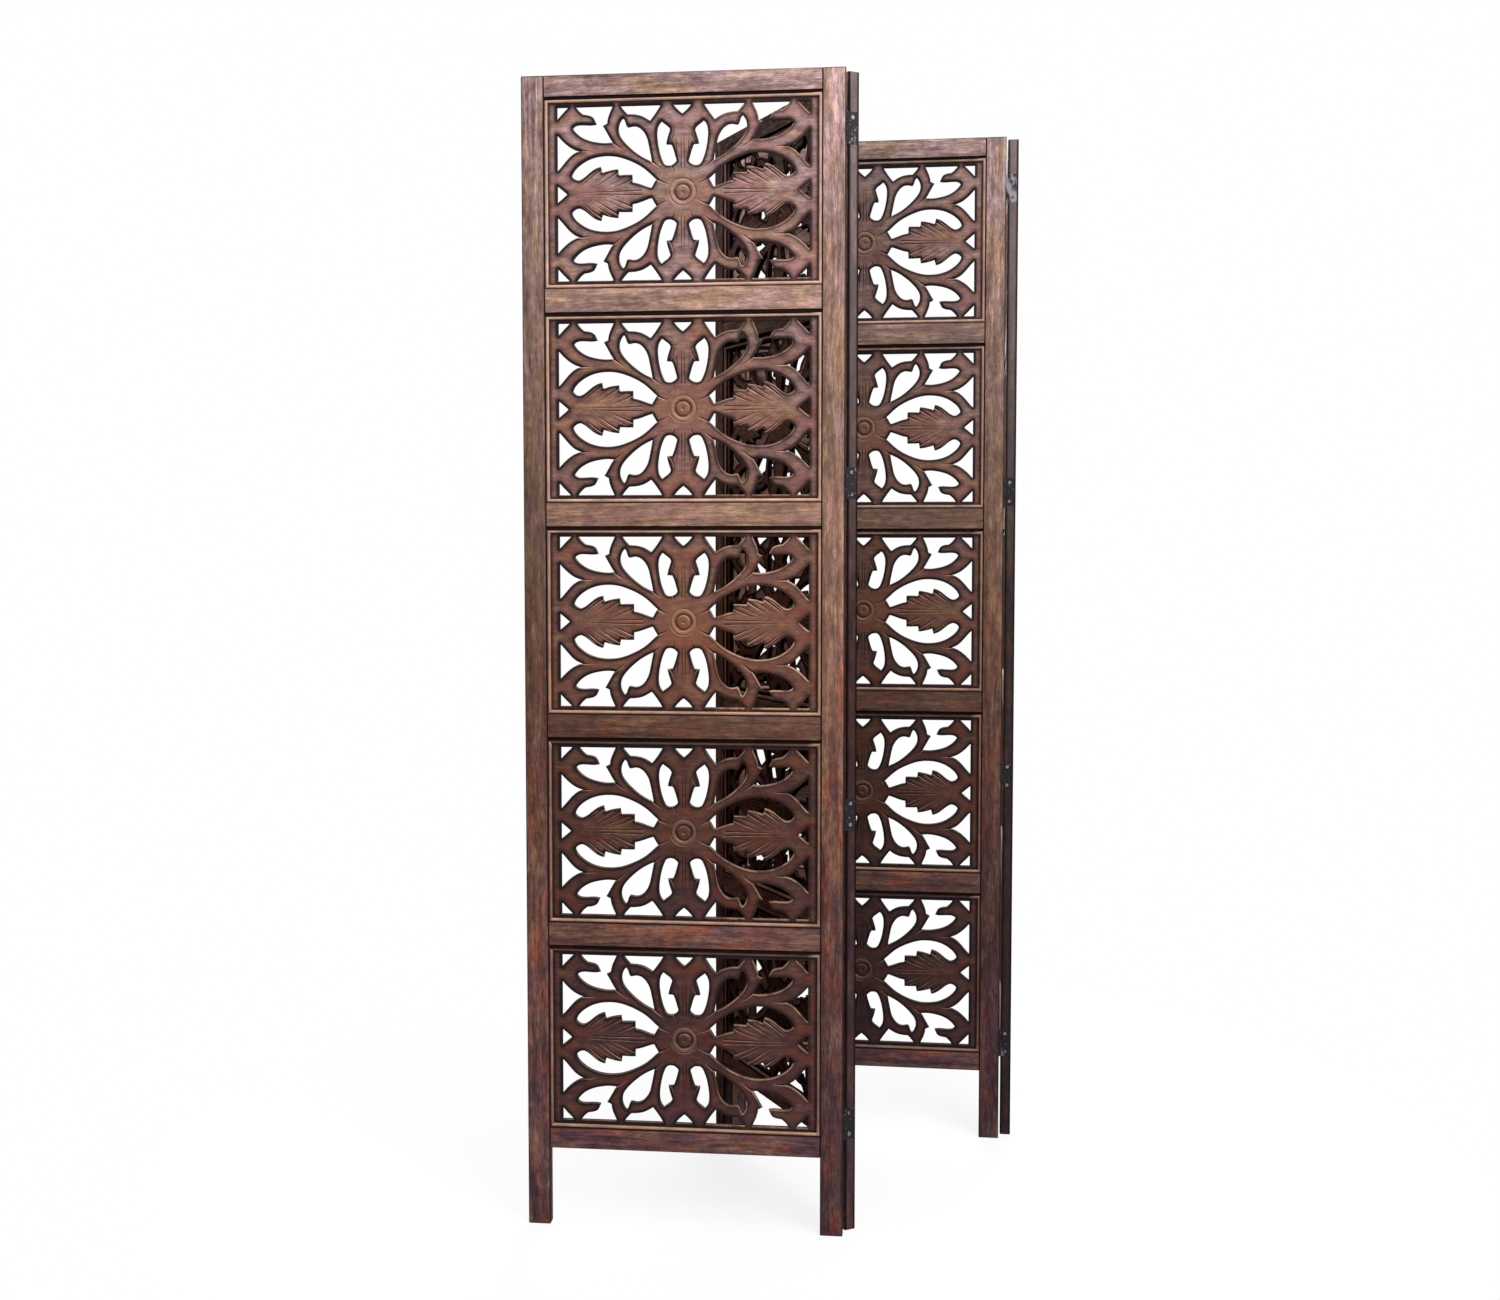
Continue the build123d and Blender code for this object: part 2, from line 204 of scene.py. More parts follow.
def shades_of(name):
    """How light a piece of wood is at each of the heights, as pairs of height and value."""
    panel = next(panel for panel in PANELS if name.startswith(panel))
    row = ROW_SHADES[ROWS.index(int(name.rsplit("_", 1)[1]))] if "_jali_" in name else 1.0
    chance = 0.92 + 0.16 * (grain_offset(name).z / 5)
    values = TIMBER_SHADES.get(name, (chance,))
    values *= len(SHADE_HEIGHTS) // len(values)
    return [(at, PANEL_SHADES[panel] * row * value) for at, value in zip(SHADE_HEIGHTS, values)]


# Mesh helpers
def copied(name, place):
    """A bmesh copy of a CAD node with its loose triangles joined, in the axes of a place."""
    bm = bmesh.new()
    bm.from_mesh(NODES[name].data)
    bmesh.ops.remove_doubles(bm, verts=bm.verts, dist=2 * MERGING)
    bmesh.ops.transform(bm, matrix=place.inverted(), verts=bm.verts)
    return bm


def eased_block(low, high, easing):
    """A block between two corners with every edge rounded over."""
    bm = bmesh.new()
    bmesh.ops.create_cube(bm, size=1)
    bmesh.ops.scale(bm, vec=high - low, verts=bm.verts)
    bmesh.ops.translate(bm, vec=(high + low) / 2, verts=bm.verts)
    shape = {"offset_type": "OFFSET", "affect": "EDGES", "segments": 2, "profile": 0.5}
    bmesh.ops.bevel(bm, geom=bm.edges[:], offset=easing, material=-1, **shape)
    return bm


def slice_at(bm, place, normal, clear_inner=False):
    """Cuts the faces along a plane and can clear what lies behind it."""
    whole = bm.verts[:] + bm.edges[:] + bm.faces[:]
    plane = {"plane_co": place, "plane_no": normal, "clear_inner": clear_inner}
    bmesh.ops.bisect_plane(bm, geom=whole, dist=MERGING, **plane)


def added_verts(result):
    """The vertices that an extrusion made."""
    return [item for item in result["geom"] if isinstance(item, bmesh.types.BMVert)]


def mark_creases(bm, angle):
    """Shades the mesh smooth and keeps the edges that turn by more than the angle."""
    for face in bm.faces:
        face.smooth = True
    for edge in bm.edges:
        edge.smooth = len(edge.link_faces) == 2 and edge.calc_face_angle(0) < angle


def note_grain(bm, order, name):
    """Keeps for the wood shaders where each vertex lies in the grain and through the thickness."""
    grain = bm.verts.layers.float_vector.new("grain")
    shade = bm.verts.layers.float.new("shade")
    through = bm.verts.layers.float.new("through")
    offset = grain_offset(name)
    levels = shades_of(name)
    for vert in bm.verts:
        vert[grain] = Vector([vert.co[axis] for axis in order]) + offset
        vert[shade] = on_section(levels, vert.co.z)
        vert[through] = vert.co.y / HALF_DEPTH


def linked(bm, name):
    """An object in the scene that holds the mesh."""
    mesh = bpy.data.meshes.new(name)
    bm.to_mesh(mesh)
    bm.free()
    item = bpy.data.objects.new(name, mesh)
    bpy.context.scene.collection.objects.link(item)
    return item


def settle(bm, name, body, materials, replaced):
    """Makes the finished piece: placed in the frame, riding its body and standing for its node."""
    bmesh.ops.transform(bm, matrix=PLACES[body], verts=bm.verts)
    piece = linked(bm, name)
    for finish in materials:
        piece.data.materials.append(matt(finish) if body in MATT_PANELS else finish)
    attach(piece, body)
    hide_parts(replaced)


# Shader helpers
class Shader:
    """A material whose nodes are added in the order that they are read, and its colour so far."""

    def __init__(self, name, colour=None):
        self.colour = colour
        self.material = bpy.data.materials.new(name)
        self.material.use_nodes = True
        self.tree = self.material.node_tree
        self.surface = self.tree.nodes["Principled BSDF"]

    def add(self, kind, inputs=(), **settings):
        """Adds a node, with the values or sockets that feed its inputs."""
        node = self.tree.nodes.new(kind)
        for key, value in settings.items():
            setattr(node, key, value)
        for key, value in dict(inputs).items():
            self.feed(node.inputs[key], value)
        return node

    def feed(self, socket, value):
        """Links a socket to another, or sets its value."""
        if isinstance(value, bpy.types.NodeSocket):
            self.tree.links.new(value, socket)
        else:
            socket.default_value = value

    def attribute(self, name, output="Fac"):
        return self.add("ShaderNodeAttribute", attribute_name=name).outputs[output]

    def object_point(self):
        return self.add("ShaderNodeTexCoord").outputs["Object"]

    def axis(self, vector, name):
        return self.add("ShaderNodeSeparateXYZ", {"Vector": vector}).outputs[name]

    def facing_up(self):
        """How far the surface looks upwards, from -1 to 1."""
        return self.axis(self.add("ShaderNodeNewGeometry").outputs["Normal"], "Z")

    def noise(self, vector, scale, detail=3.0, roughness=0.55, distortion=0.0):
        """A noise factor; scale is features to a metre along each axis."""
        scaled = self.add("ShaderNodeMapping", {"Vector": vector, "Scale": scale})
        values = {
            "Vector": scaled.outputs["Vector"],
            "Scale": 1.0,
            "Detail": detail,
            "Roughness": roughness,
            "Distortion": distortion,
        }
        return self.add("ShaderNodeTexNoise", values).outputs["Fac"]

    def math(self, operation, first, second=0.0):
        return self.add("ShaderNodeMath", {0: first, 1: second}, operation=operation).outputs[0]

    def times(self, first, second):
        return self.math("MULTIPLY", first, second)

    def remap(self, value, low, high, to_low=0.0, to_high=1.0):
        """Turns one range into another and stays within it."""
        names = ("Value", "From Min", "From Max", "To Min", "To Max")
        values = dict(zip(names, (value, low, high, to_low, to_high)))
        return self.add("ShaderNodeMapRange", values).outputs["Result"]

    def by_height(self, low, high, to_low=0.0, to_high=1.0):
        """A value that changes between two heights above the floor, in metres."""
        return self.remap(self.axis(self.object_point(), "Z"), low, high, to_low, to_high)

    def mix(self, first, second, factor, blend="MIX"):
        """Mixes two colours; each may be a socket or three linear values."""
        values = {0: factor, 6: as_colour(first), 7: as_colour(second)}
        node = self.add("ShaderNodeMix", values, data_type="RGBA", blend_type=blend)
        return node.outputs[2]

    def shade(self, colour, value):
        """Multiplies a colour by one value."""
        grey = self.add("ShaderNodeCombineColor", {0: value, 1: value, 2: value}).outputs[0]
        return self.mix(colour, grey, 1.0, "MULTIPLY")

    def lay(self, colour, factor):
        """Lays another colour over the one so far."""
        self.colour = self.mix(self.colour, colour, factor)

    def darken(self, value):
        """Multiplies the colour so far by one value."""
        self.colour = self.shade(self.colour, value)

    def bump(self, height, strength, distance):
        values = {"Height": height, "Strength": strength, "Distance": distance}
        return self.add("ShaderNodeBump", values).outputs["Normal"]

    def finish(self, roughness, relief, **values):
        """Feeds the surface and gives the finished material."""
        values.update({"Base Color": self.colour, "Roughness": roughness, "Normal": relief})
        for key, value in values.items():
            self.feed(self.surface.inputs[key.replace("_", " ")], value)
        return self.material

    def finish_wood(self, roughness, relief, sheen):
        """Multiplies the colour by how light its piece of wood is painted, partly its own tone and
        partly painted shade, and finishes it.
        """
        self.darken(self.attribute("shade"))
        return self.finish(roughness, relief, Specular_IOR_Level=sheen)


def as_colour(value):
    """A socket as it is, or linear values with a full alpha."""
    return value if isinstance(value, bpy.types.NodeSocket) else (*value[:3], 1.0)


# Finishes. The factors of patches and streaks come from noise, which lies about 0.5.
def stained_wood(name, tones, pore_depth, streakiness=1.0):
    """A shader that is coloured as stained hardwood, with its streaks and its relief as sockets."""
    shader = Shader(name, tones.stain_low)
    grain = shader.attribute("grain", "Vector")
    sway = shader.noise(grain, (4, 18, 18), 2)
    lift = shader.times(shader.math("SUBTRACT", sway, 0.5), 0.03)
    shift = shader.add("ShaderNodeCombineXYZ", {"X": 0.0, "Y": lift, "Z": lift}).outputs[0]
    swayed = shader.add("ShaderNodeVectorMath", {0: grain, 1: shift}, operation="ADD").outputs[0]
    bands = shader.noise(swayed, (7, 120, 120), 4, 0.65)
    streaks = shader.noise(swayed, (36, 620, 620), 3, 0.65)
    mottle = shader.noise(grain, (55, 120, 120), 4, 0.7)
    pores = shader.noise(grain, (130, 1100, 1100), 2, 0.55)
    patches = shader.noise(grain, (13, 34, 34), 3, 0.6)
    clouds = shader.noise(grain, (21, 46, 46), 4, 0.65, 0.4)
    reds = shader.noise(grain, (15, 42, 42), 3, 0.6)
    # The stain is lighter towards the top: partly the wood's fading and partly painted light from
    # above
    shader.lay(tones.stain_middle, shader.by_height(0.15, 1.0))
    shader.lay(tones.stain_top, shader.by_height(TOP * 0.45, TOP * 0.98))
    gilt = shader.remap(patches, 0.46, 0.64, 0, 0.6)
    shader.lay(tones.golden, shader.times(gilt, shader.by_height(0.5, 1.5, 0.45, 1.0)))
    shader.lay(tones.plum, shader.remap(clouds, 0.48, 0.7, 0, 0.7))
    reddened = shader.remap(reds, 0.5, 0.68)
    shader.lay(tones.russet, shader.times(reddened, shader.by_height(0.5, 1.3, 0.6, 0.15)))
    for factor, low, high, reach in ((bands, 0.34, 0.66, 0.34), (streaks, 0.3, 0.7, 0.28)):
        swing = reach * streakiness
        shader.darken(shader.remap(factor, low, high, 1 - swing, 1 + swing))
    shader.darken(shader.remap(mottle, 0.3, 0.7, 0.54, 1.48))
    pitted = shader.remap(pores, 0.58, 0.68)
    shader.lay(tones.pore, shader.times(pitted, 0.6))
    height = shader.math("SUBTRACT", shader.times(streaks, 0.6), pitted)
    return shader, streaks, shader.bump(height, 0.5, pore_depth)


def timber_material(name, tones):
    """The faces of stiles and rails, worn to a honey colour from hip to shoulder height."""
    shader, streaks, relief = stained_wood(name, tones, 0.3 * MM, 1.5)
    rising = shader.by_height(0.6, 1.2, 0.0, 0.16)
    honeyed = shader.math("MINIMUM", rising, shader.by_height(1.5, 1.75, 0.16, 0.04))
    shader.lay(tones.golden, honeyed)
    return shader.finish_wood(shader.remap(streaks, 0.3, 0.7, 0.68, 0.5), relief, 0.16)


def timber_edge_material(name, tones):
    """The eased edges and the sides of the stiles: dark low down and greyer towards the top, partly
    stain and partly painted shade, and near-black towards both faces, partly stain and partly a
    painted shadow of the gaps between the panels.
    """
    shader, _, relief = stained_wood(name, tones, 0.3 * MM)
    # Dark patches, partly stain and partly painted shade, greyer towards the top
    rubbed = shader.noise(shader.attribute("grain", "Vector"), (30, 70, 70), 3, 0.6)
    smoked_and_shaded = shader.remap(rubbed, 0.35, 0.65, 0.98, 0.7)
    smoked_and_shaded = shader.times(smoked_and_shaded, shader.by_height(1.1, 1.75, 1.0, 0.8))
    cover = shader.mix(tones.smoke, tones.weathered, shader.by_height(1.0, 1.7))
    shader.lay(cover, smoked_and_shaded)
    # Near-black towards both faces: partly stain on the eased edges, partly a painted shadow of the
    # gaps at the hinges
    through = shader.math("ABSOLUTE", shader.attribute("through"))
    shader.lay(tones.grime, shader.remap(through, 0.45, 0.78, 0.0, 0.96))
    return shader.finish_wood(0.7, relief, 0.1)


def bead_material(name, tones):
    """The beads: pale on the ridge in patches, partly bare wood and partly painted light, dimmer
    towards the floor, and dark in the grooves beside it, partly grime and partly a painted shadow
    under the rail.
    """
    shader, _, relief = stained_wood(name, tones, 0.2 * MM)
    ridge = shader.attribute("ridge")
    patches = shader.noise(shader.attribute("grain", "Vector"), (26, 30, 30), 3, 0.6)
    bared_and_lit = shader.times(ridge, shader.remap(patches, 0.3, 0.62, 0.3, 0.85))
    # The pale ridge: partly bare wood, partly painted light, dimmer towards the floor
    shader.lay(shader.shade(tones.bare, shader.by_height(0.2, 1.2, 0.72, 1.0)), bared_and_lit)
    # Dark grooves: partly grime, partly a painted shadow under the rail on the top strips
    shader.lay(tones.grime, shader.remap(ridge, 0.0, 0.3, 0.92, 0.0))
    return shader.finish_wood(0.55, relief, 0.16)


def warm_heart(shader, tones):
    """Makes the middle of a board warm half way up, and darker low down, as painted shade, and near
    the top.
    """
    heart = shader.attribute("heart")
    rising = shader.by_height(0.55, 1.1, 0.0, 0.5)
    warmth = shader.math("MINIMUM", rising, shader.by_height(1.1, 1.6, 0.5, 0.05))
    shader.lay(tones.heart, shader.times(heart, warmth))
    # Painted shade low down, and darkening near the top
    low_dim = shader.by_height(0.3, 0.9, 0.3, 0.0)
    dim = shader.math("MAXIMUM", low_dim, shader.by_height(1.15, 1.6, 0.0, 0.26))
    shader.lay(tones.smoke, shader.times(heart, dim))


def darken_rims(shader, tones, uneven):
    """Lays painted shade and then a black line towards the openings, both weaker where the rims
    carry a painted highlight; it also darkens the cuts and lays a painted shadow beside the bead.
    """
    rim = shader.attribute("rim")
    unlit = shader.remap(shader.attribute("lit"), 0.0, 1.0, 1.0, 0.4)
    away = shader.math("ADD", rim, shader.times(shader.math("SUBTRACT", uneven, 0.5), 9 * MM))
    outer = shader.times(shader.remap(shader.attribute("heart"), 0.0, 0.7, 0.86, 0.34), unlit)
    # Painted shade that deepens towards the openings
    near = shader.times(shader.remap(away, 0.5 * MM, 11 * MM, 1.0, 0.0), outer)
    shader.lay(tones.smoke, near)
    shader.lay(tones.grime, shader.remap(shader.attribute("cut"), 0.3, 0.9, 0.0, 0.88))
    line = shader.remap(rim, 2.8 * MM, 5.8 * MM, 0.98, 0.0)
    shader.lay(tones.grime, shader.times(line, unlit))
    # The painted shadow of the bead on the board beside it
    shader.lay(tones.grime, shader.times(shader.attribute("hem"), 0.88))


def bared_and_lit_arrises(shader, uneven):
    """How pale the wood is laid on arrises and shoulders that look up, partly bare wood and partly a
    painted highlight from above, and on rims that carry a painted highlight.
    """
    rim = shader.attribute("rim")
    cut = shader.attribute("cut")
    facing = shader.facing_up()
    # Paleness on upward arrises is partly wear and partly a painted highlight from the light above
    upward = shader.remap(facing, 0.05, 0.5, 0.0, 0.9)
    arris = shader.remap(rim, 0.5 * MM, 1.5 * MM, 0.6, 0.0)
    shoulder = shader.times(shader.remap(cut, 0.02, 0.3), shader.remap(cut, 0.75, 0.4))
    bared_and_lit = shader.times(shader.math("MAXIMUM", arris, shoulder), upward)
    bared_and_lit = shader.times(bared_and_lit, shader.remap(uneven, 0.35, 0.6, 0.3, 1.0))
    # A painted highlight on the lit rims of the right halves
    gleam = shader.times(shader.attribute("lit"), shader.remap(facing, 0.03, 0.12))
    gleam = shader.times(gleam, shader.remap(rim, 1.4 * MM, 3.2 * MM, 1.0, 0.0))
    gleam = shader.times(gleam, shader.remap(uneven, 0.36, 0.54, 0.25, 1.0))
    return shader.math("MAXIMUM", bared_and_lit, gleam)


def carved_material(name, tones):
    """The boards' faces: dark round the openings as painted shade, grimy in the cuts, and pale on
    the arrises, partly wear and partly painted highlight.
    """
    shader, _, relief = stained_wood(name, tones, 0.3 * MM, 0.5)
    grain = shader.attribute("grain", "Vector")
    uneven = shader.noise(grain, (45, 45, 45), 3, 0.6)
    blush = shader.remap(shader.noise(grain, (9, 15, 15), 3, 0.6), 0.42, 0.62, 0.0, 0.34)
    shader.lay(tones.russet, blush)
    warm_heart(shader, tones)
    darken_rims(shader, tones, uneven)
    shader.lay(tones.bare, bared_and_lit_arrises(shader, uneven))
    # The rosette's raised ring is laid paler: partly rubbed wear, partly a painted highlight
    shader.lay(tones.bare, shader.times(shader.attribute("crest"), 0.22))
    return shader.finish_wood(0.62, relief, 0.14)


def sawn_material(name, tones):
    """The walls of the openings, nearly black with stain, with fine saw marks and paler where they
    look up, partly dust and partly a painted highlight from above.
    """
    shader = Shader(name, tones.grime)
    grain = shader.attribute("grain", "Vector")
    marks = shader.noise(grain, (700, 120, 700), 2, 0.6)
    blotches = shader.noise(grain, (60, 60, 60), 3)
    shader.lay(tones.smoke, shader.remap(blotches, 0.35, 0.75, 0.0, 0.4))
    # Paler where the walls look up: partly dust, partly a painted highlight from above
    dusty_and_lit = shader.times(shader.remap(shader.facing_up(), 0.2, 0.9, 0.0, 0.2), blotches)
    shader.lay(tones.bare, dusty_and_lit)
    return shader.finish_wood(0.85, shader.bump(marks, 0.4, 0.2 * MM), 0.06)


# Coat, what shows where it is rubbed, how much of it is low down and near the top, and roughness
METALS = {
    "blackened_hinge": ("blackened", "rubbed_metal", (0.2, 0.28), 0.5),
    "bare_hinge": ("blackened", "rubbed_metal", (0.25, 0.52), 0.48),
    "zinc_screw": ("zinc", "blackened", (0.4, 0.4), 0.45),
}


def metal_material(name, tones):
    """Coated metal that is rubbed in patches."""
    coat, rubbed, wear, gloss = METALS[name]
    shader = Shader(name, getattr(tones, coat))
    point = shader.object_point()
    patches = shader.noise(point, (90, 90, 40), 3, 0.5)
    flecks = shader.noise(point, (240, 240, 240), 1, 0.5)
    specks = shader.noise(point, (700, 700, 700), 2, 0.6)
    share = shader.by_height(0.7 * TOP, 0.92 * TOP, *wear)
    worn = shader.remap(shader.math("ADD", share, patches), 0.92, 1.06)
    worn = shader.math("MAXIMUM", worn, shader.remap(flecks, 0.68, 0.72, 0.0, 0.8))
    shader.lay(getattr(tones, rubbed), worn)
    shader.darken(shader.remap(specks, 0.35, 0.65, 0.82, 1.12))
    rough = shader.remap(patches, 0.35, 0.7, gloss + 0.12, gloss)
    return shader.finish(rough, shader.bump(specks, 0.2, 0.05 * MM), Metallic=0.7)


FINISHES = {
    "stained_timber": timber_material,
    "stained_timber_edge": timber_edge_material,
    "rubbed_bead": bead_material,
    "carved_face": carved_material,
    "sawn_wall": sawn_material,
    **dict.fromkeys(METALS, metal_material),
}


def finished(scene, *names):
    """The named materials, each made once."""
    made = bpy.data.materials
    return [made.get(name) or FINISHES[name](name, scene.screen_tones) for name in names]


def matt(finish):
    """A copy of a wood's finish without its sheen, made once."""
    name = f"{finish.name}_matt"
    if name not in bpy.data.materials:
        dull = finish.copy()
        dull.name = name
        surface = dull.node_tree.nodes["Principled BSDF"]
        surface.inputs["Specular IOR Level"].default_value = 0.0
    return bpy.data.materials[name]


# The timbers. How much of the stiles' easing the rails have, how much of the middle rails' rebate
# the top rails have, and the height of the slope at the top of a rebate
RAIL_EASING = 0.7
TOP_REBATE = 0.7
REBATE_SLOPE = 0.3 * MM


def timber_stile(name, place, easing, skim):
    """A CAD stile cut down to an eased block, which keeps its mortises and hinge gains."""
    low, high = node_span(name, place)
    inset = Vector((skim,) * 3)
    block = linked(eased_block(low + inset, high - inset, easing), f"{name}_block")
    stock = linked(copied(name, place), f"{name}_stock")
    cut = stock.modifiers.new("ease", "BOOLEAN")
    cut.operation = "INTERSECT"
    cut.solver = "EXACT"
    cut.object = block
    result = bmesh.new()
    result.from_object(stock, bpy.context.evaluated_depsgraph_get())
    for item in (block, stock):
        mesh = item.data
        bpy.data.objects.remove(item)
        bpy.data.meshes.remove(mesh)
    if not result.faces:
        raise RuntimeError(f"{name} was lost when its edges were eased")
    return result


def timber_rail(low, high, tenon_shoulder, tenon_length, easing):
    """A rail's eased body, with a tenon drawn out of each end."""
    bm = eased_block(low, high, easing)
    for side in (-1, 1):
        ends = [face for face in bm.faces if face.normal.x * side > SQUARE_ON]
        bmesh.ops.inset_region(
            bm, faces=ends, thickness=tenon_shoulder - easing, use_even_offset=True
        )
        tip = max(bm.faces, key=lambda face: face.calc_center_median().x * side)
        tips = [face for face in ends if face.is_valid] or [tip]
        moved = added_verts(bmesh.ops.extrude_face_region(bm, geom=tips))
        bmesh.ops.delete(bm, geom=tips, context="FACES_ONLY")
        bmesh.ops.translate(bm, vec=(side * tenon_length, 0, 0), verts=moved)
    return bm


def sink_lower_edges(bm, low, height, depth):
    """Cuts a rebate along the lower edges of a rail's two faces and gives it the nearly black wall
    finish, which stands for the shadow under the rail.
    """
    top = low + height
    inner = HALF_DEPTH - depth
    for level in (top, top - REBATE_SLOPE):
        slice_at(bm, (0, 0, level), UP)
    for side in (-1, 1):
        slice_at(bm, (0, side * inner, 0), (0, 1, 0))
    for vert in bm.verts:
        if vert.co.z < top - REBATE_SLOPE / 2 and abs(vert.co.y) > inner:
            vert.co.y = inner if vert.co.y > 0 else -inner
    bmesh.ops.remove_doubles(bm, verts=bm.verts, dist=TOUCHING)
    bmesh.ops.dissolve_degenerate(bm, dist=TOUCHING, edges=bm.edges)
    for face in bm.faces:
        middle = face.calc_center_median()
        if middle.z < top - TOUCHING and abs(middle.y) > inner - TOUCHING:
            # The rebate's near-black finish is painted shadow under the rail
            face.material_index = 2


def edge_faces_second(bm, axis):
    """Gives the second material to the eased edges and to the faces that look along an axis."""
    for face in bm.faces:
        eased = max(abs(value) for value in face.normal) < EASED
        if eased or abs(face.normal[axis]) > EASED:
            face.material_index = 1


def rail_heights(name):
    """The bottom and top of each rail of a node, from the heights of its faces."""
    low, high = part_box(name)
    if "middle" not in name:
        return [(low[2], high[2])]
    boards = [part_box(f"{FIRST}_jali_{row}") for row in ROWS]
    return [
        (below[1][2] + OPENING_CLEARANCE, above[0][2] - OPENING_CLEARANCE)
        for below, above in zip(boards, boards[1:])
    ]


def rail_group(name, place, settings):
    """All the rails of a node in one mesh, each with its own figure."""
    tenon_length = node_span(name, place)[1].x - HALF_OPENING
    skim = Vector((0, settings.rail_skim, settings.rail_skim))
    easing = settings.easing * RAIL_EASING
    group = bpy.data.meshes.new(f"{name}_group")
    joined = bmesh.new()
    for count, (bottom, top) in enumerate(rail_heights(name)):
        low = Vector((-HALF_OPENING, -HALF_DEPTH, bottom)) + skim
        high = Vector((HALF_OPENING, HALF_DEPTH, top)) - skim
        bm = timber_rail(low, high, settings.tenon_shoulder, tenon_length, easing)
        edge_faces_second(bm, 2)
        if "bottom" not in name:
            height = settings.rebate_height * (TOP_REBATE if "top" in name else 1.0)
            sink_lower_edges(bm, bottom, height, settings.rebate_depth)
        note_grain(bm, (0, 2, 1), f"{name}_{count}" if "middle" in name else name)
        bm.to_mesh(group)
        bm.free()
        joined.from_mesh(group)
    bpy.data.meshes.remove(group)
    return joined


# The beads. Their section is the distance in from the timber and the depth below its face, in
# millimetres.
BEAD_SECTION = (
    (0.0, 3.2),
    (0.5, 3.3),
    (1.1, 2.2),
    (1.9, 1.5),
    (3.1, 1.25),
    (4.3, 1.5),
    (5.2, 2.3),
    (5.9, 4.2),
)
BEAD_WIDTH = BEAD_SECTION[-1][0]
# Shares of the bead's width: where the pale ridge starts, on the strips above openings and on the
# others, over what it fades, how far the groove above an opening reaches, and what part wavers
# The ridge above an opening starts further in, so that the strip's outer part is laid dark as a
# painted shadow of the rail
TOP_RIDGE_START, RIDGE_START = 0.4, 0.1
RIDGE_FADE = 0.12
GROOVE_REACH = 0.5
WAVERING = (0.05, 0.95)
# Waves to a metre: long ones, and short ones that are half as high
LONG_WAVES, SHORT_WAVES = 45, 160
# How pale the ridge above an opening is: on the first panel, on the others, and in the low rows;
# the lower values are painted shade
FIRST_PALENESS, OTHER_PALENESS, LOW_PALENESS = 1.0, 0.4, 0.15
# An edge across a mitre is shorter than the first, and one along a strip longer than the second
MITRE_EDGE = 10 * MM
STRIP_EDGE = 50 * MM


def bead_ring():
    """One opening's moulded bead in four mitred strips, facing -y, about the opening's middle."""
    bm = bmesh.new()
    rim_y = -HALF_DEPTH + BEAD_SECTION[0][1] * MM
    corners = [(-1, -1), (1, -1), (1, 1), (-1, 1)]
    verts = [bm.verts.new((x * HALF_OPENING, rim_y, z * HALF_HEIGHT)) for x, z in corners]
    face = bm.faces.new(verts)
    face.normal_update()
    for (before, depth_before), (after, depth) in zip(BEAD_SECTION, BEAD_SECTION[1:]):
        bmesh.ops.inset_region(
            bm,
            faces=[face],
            thickness=(after - before) * MM,
            depth=(depth_before - depth) * MM,
            use_boundary=True,
            use_even_offset=True,
        )
    bmesh.ops.delete(bm, geom=[face], context="FACES_ONLY")
    for vert in added_verts(bmesh.ops.extrude_edge_only(bm, edges=boundary(bm))):
        vert.co.y = BOARD_LOW.y
    bmesh.ops.bridge_loops(bm, edges=boundary(bm))
    bmesh.ops.split_edges(bm, edges=[edge for edge in bm.edges if is_mitre(edge)])
    bmesh.ops.holes_fill(bm, edges=boundary(bm), sides=0)
    return bm


def boundary(bm):
    """The edges with a face on one side only."""
    return [edge for edge in bm.edges if edge.is_boundary]


def is_mitre(edge):
    """Whether both ends of an edge lie on the same corner's mitre."""
    first, second = edge.verts
    insets = [(HALF_OPENING - abs(end.co.x), HALF_HEIGHT - abs(end.co.z)) for end in edge.verts]
    on_mitre = all(abs(across - upright) < TOUCHING for across, upright in insets)
    return on_mitre and (first.co - second.co).length < MITRE_EDGE


def strip_side(face):
    """Which strip of a ring a face belongs to; the faces on a mitre belong to none."""
    middle = face.calc_center_median()
    across = HALF_OPENING - abs(middle.x)
    upright = HALF_HEIGHT - abs(middle.z)
    if abs(across - upright) < 5 * TOUCHING:
        return "mitre"
    if across < upright:
        return "side"
    return "top" if middle.z > 0 else "bottom"


def ridge_paleness(panel, row, side_paleness):
    """How pale the ridge is on the strips above and beside an opening; the strip below keeps full
    paleness. This is partly wear and partly painted light: the sides and the other panels' top
    strips are dimmer, and the low rows dimmer still, as painted shade.
    """
    if row in LOW_ROWS:
        return {"top": LOW_PALENESS, "side": side_paleness / 2}
    top = FIRST_PALENESS if panel == FIRST else OTHER_PALENESS
    return {"top": top, "side": side_paleness}


